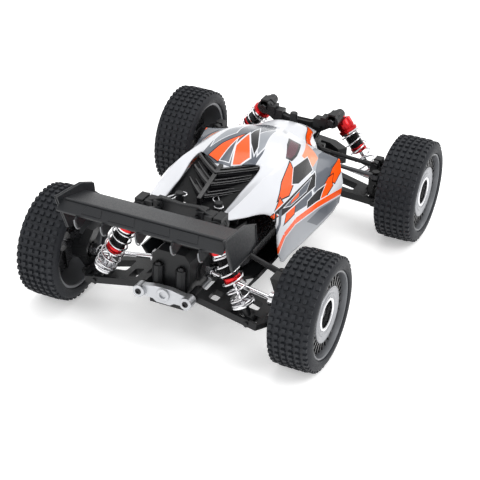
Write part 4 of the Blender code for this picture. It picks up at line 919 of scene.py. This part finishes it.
def towers():
    """Both shock towers."""
    half = [(0, 56.4), (9.0, 56.4), (13.5, 58.0), (15.5, 63.0), (24.0, 68.5), (29.0, 72.0), (28.5, 77.0),
            (22.0, 77.6), (15.0, 71.5), (8.0, 69.5), (0, 69.5)]
    tower("front_tower", "front_shock_tower", (93.4, 97.0), half, (25.2, 74.0), 103.2, 109.8, 90.8,
          ((-5.6, -1.6, 4.2), (-11.0, -3.6, 3.6), (0.0, 2.2, 4.4)))
    half = [(0, 59.4), (8.5, 59.4), (13.0, 61.0), (17.0, 66.0), (28.0, 75.0), (29.5, 80.0), (27.0, 83.0),
            (19.0, 84.0), (12.0, 87.0), (0, 86.0)]
    tower("rear_tower", "rear_shock_tower", (-86.8, -83.4), half, (25.0, 79.0), -91.2, -98.0, -81.6,
          ((-5.6, 2.2, 4.6), (-11.4, 3.6, 4.2), (0.6, 2.6, 4.8)))


def pin_holder():
    """The machined rear bar that carries the arms' hinge pins."""
    outline = [(-15.5, 30.6), (-7, 30.6), (-4.5, 28.8), (4.5, 28.8), (7, 30.6), (15.5, 30.6), (15.5, 37.4),
               (5, 39.4), (-5, 39.4), (-15.5, 37.4)]
    bar = [prism(outline, "x", -106.0, -102.0)]
    for s in (-1, 1):
        bar.append(rod((-108.4, s * 15.5, 34), (-101.0, s * 15.5, 34), 3.9))
        bar.append(rod((-104, s * 15.5, 34), (-61.6, s * 15.5, 34), 1.4))
    bar.append(eye((-105.2, 0, 35), 4.2, 2.1, 2.0))
    piece("rear_hinge_bar", "root", ALUMINIUM, "satin_aluminium", bar, bevel=0.4,
          replaces=["rear_pin_holder"])
    piece("rear_bar_screws", "root", SCREW, "gear_steel",
          [screw((-108.4, s * 15.5, 34), (-1, 0, 0), 2.0, 1.0) for s in (-1, 1)])


def posts():
    """Screw posts behind the rear gearbox, the brace under the tail, and the shell's posts and clips."""
    piece("rear_post_caps", "root", SCREW, "gear_steel",
          [screw((-98.0, s * 7.5, 50.0), UP, 2.4, 1.6) for s in (-1, 1)])
    front_post = rod((84.7, 0, 56), (84.7, 0, 78.0), 2.6)
    piece("front_shell_post", "root", NYLON, "black_nylon", [front_post])
    brace = [prism([(-67.0, -24.0), (-67.0, 24.0), (-50.0, 27.0), (-50.0, -27.0)], "z", 62.0, 65.0),
             slab((-67.0, -64.6), (-22.0, 22.0), (64.0, 70.0)),
             slab((-58.0, -55.6), (-24.0, 24.0), (64.0, 68.0))]
    for s in (-1, 1):
        brace.append(rod((-61.5, s * 13.0, 64.0), (-61.5, s * 13.0, 79.5), 2.6))
        brace.append(slab((-66.0, -56.0), tuple(sorted((s * 8.0, s * 9.6))), (64.0, 72.0)))
        brace.append(slab((-66.0, -56.0), tuple(sorted((s * 18.0, s * 19.6))), (64.0, 72.0)))
    piece("rear_shell_brace", "root", NYLON, "black_nylon", brace, bevel=0.4)
    for label, side, heading in (("left", 1, 150), ("right", -1, 35)):
        clip(f"shell_clip_{label}", (-61.5, side * 13.0, 77.6), heading, "root")


# ---- CAD nodes that keep their shape ----
KEPT = {
    NYLON: ["chassis_tray", "front_gearbox", "rear_gearbox", "front_bumper", "speed_controller",
            "steering_servo", *(f"{part}_{label}" for label, _ in SIDES for part in (
                "rear_arm", "front_arm", "rear_hub_carrier", "front_hub_carrier", "front_knuckle"))],
    DARK_NYLON: ["servo_horn", "steering_rack", *(f"front_tie_rod_{label}" for label, _ in SIDES)],
    GEAR: ["centre_shaft", "pinion_gear"],
    POLISHED: ["front_diff", "rear_diff"],
    MOTOR: ["motor"],
    WRAP: ["battery_pack"],
}


def dress_cad():
    """The finishes of the CAD nodes that show as they are."""
    for material, names in KEPT.items():
        for name in names:
            node = frame["nodes"][name]
            node.data.materials.clear()
            node.data.materials.append(material)


# ---- studio ----
FLOOR_REACH = 6.0
FLOOR_GLOW = 0.35
AIM = Vector((0, 0, 0.04))
# name, place in metres, size in metres, power in watts
LAMPS = (
    ("key", (-0.35, -0.75, 1.1), 0.5, 5.0),
    ("fill", (-0.9, 0.6, 0.8), 0.5, 2.0),
    ("top", (0.3, 0.1, 1.3), 0.7, 4.0),
    ("front", (1.0, -0.4, 0.7), 0.5, 2.0),
)
CAMERA_PLACE = (-0.7194, -0.3144, 0.4609)
CAMERA_ANGLES = (-156.48, 29.33, 2.81)
CAMERA_LENS = 103.23


def studio():
    """A pale floor, a bright surround, soft lights and the camera."""
    scene = bpy.context.scene
    scene.view_settings.view_transform = "Standard"
    world = bpy.data.worlds.new("studio")
    scene.world = world
    world.use_nodes = True
    world.node_tree.nodes["Background"].inputs["Color"].default_value = (1.0, 1.0, 1.0, 1.0)
    world.node_tree.nodes["Background"].inputs["Strength"].default_value = 1.0
    mesh = bpy.data.meshes.new("floor")
    corners = [(a * FLOOR_REACH, b * FLOOR_REACH, 0) for a, b in ((-1, -1), (1, -1), (1, 1), (-1, 1))]
    mesh.from_pydata(corners, [], [(0, 1, 2, 3)])
    floor = bpy.data.objects.new("floor", mesh)
    scene.collection.objects.link(floor)
    paper = finish("floor", (0.9, 0.9, 0.9), 0.7, variation=0.01, bump=0.0)
    glow = paper.node_tree.nodes["Principled BSDF"].inputs
    glow["Emission Color"].default_value = (1.0, 1.0, 1.0, 1.0)
    glow["Emission Strength"].default_value = FLOOR_GLOW
    mesh.materials.append(paper)
    for name, place, size, power in LAMPS:
        data = bpy.data.lights.new(name, "AREA")
        data.size = size
        data.energy = power
        lamp = bpy.data.objects.new(name, data)
        scene.collection.objects.link(lamp)
        lamp.location = place
        lamp.rotation_euler = (AIM - Vector(place)).to_track_quat("-Z", "Y").to_euler()
    data = bpy.data.cameras.new("camera")
    data.lens = CAMERA_LENS
    data.sensor_width = 36.0
    camera = bpy.data.objects.new("camera", data)
    scene.collection.objects.link(camera)
    azimuth, elevation, roll = (math.radians(a) for a in CAMERA_ANGLES)
    back = Vector((math.cos(elevation) * math.cos(azimuth), math.cos(elevation) * math.sin(azimuth),
                   math.sin(elevation)))
    right = UP.cross(back).normalized()
    up = back.cross(right)
    turned_right = right * math.cos(roll) + up * math.sin(roll)
    turned_up = up * math.cos(roll) - right * math.sin(roll)
    rotation = Matrix((turned_right, turned_up, back)).transposed()
    camera.matrix_world = Matrix.Translation(CAMERA_PLACE) @ rotation.to_4x4()
    scene.camera = camera


studio()
for end in ("front", "rear"):
    for label, side in SIDES:
        wheel(end, label, side)
        shock(end, label, side)
        link(end, label, side)
        drive_shaft(end, label, side)
body_shell()
hatch()
wing()
towers()
pin_holder()
posts()
dress_cad()
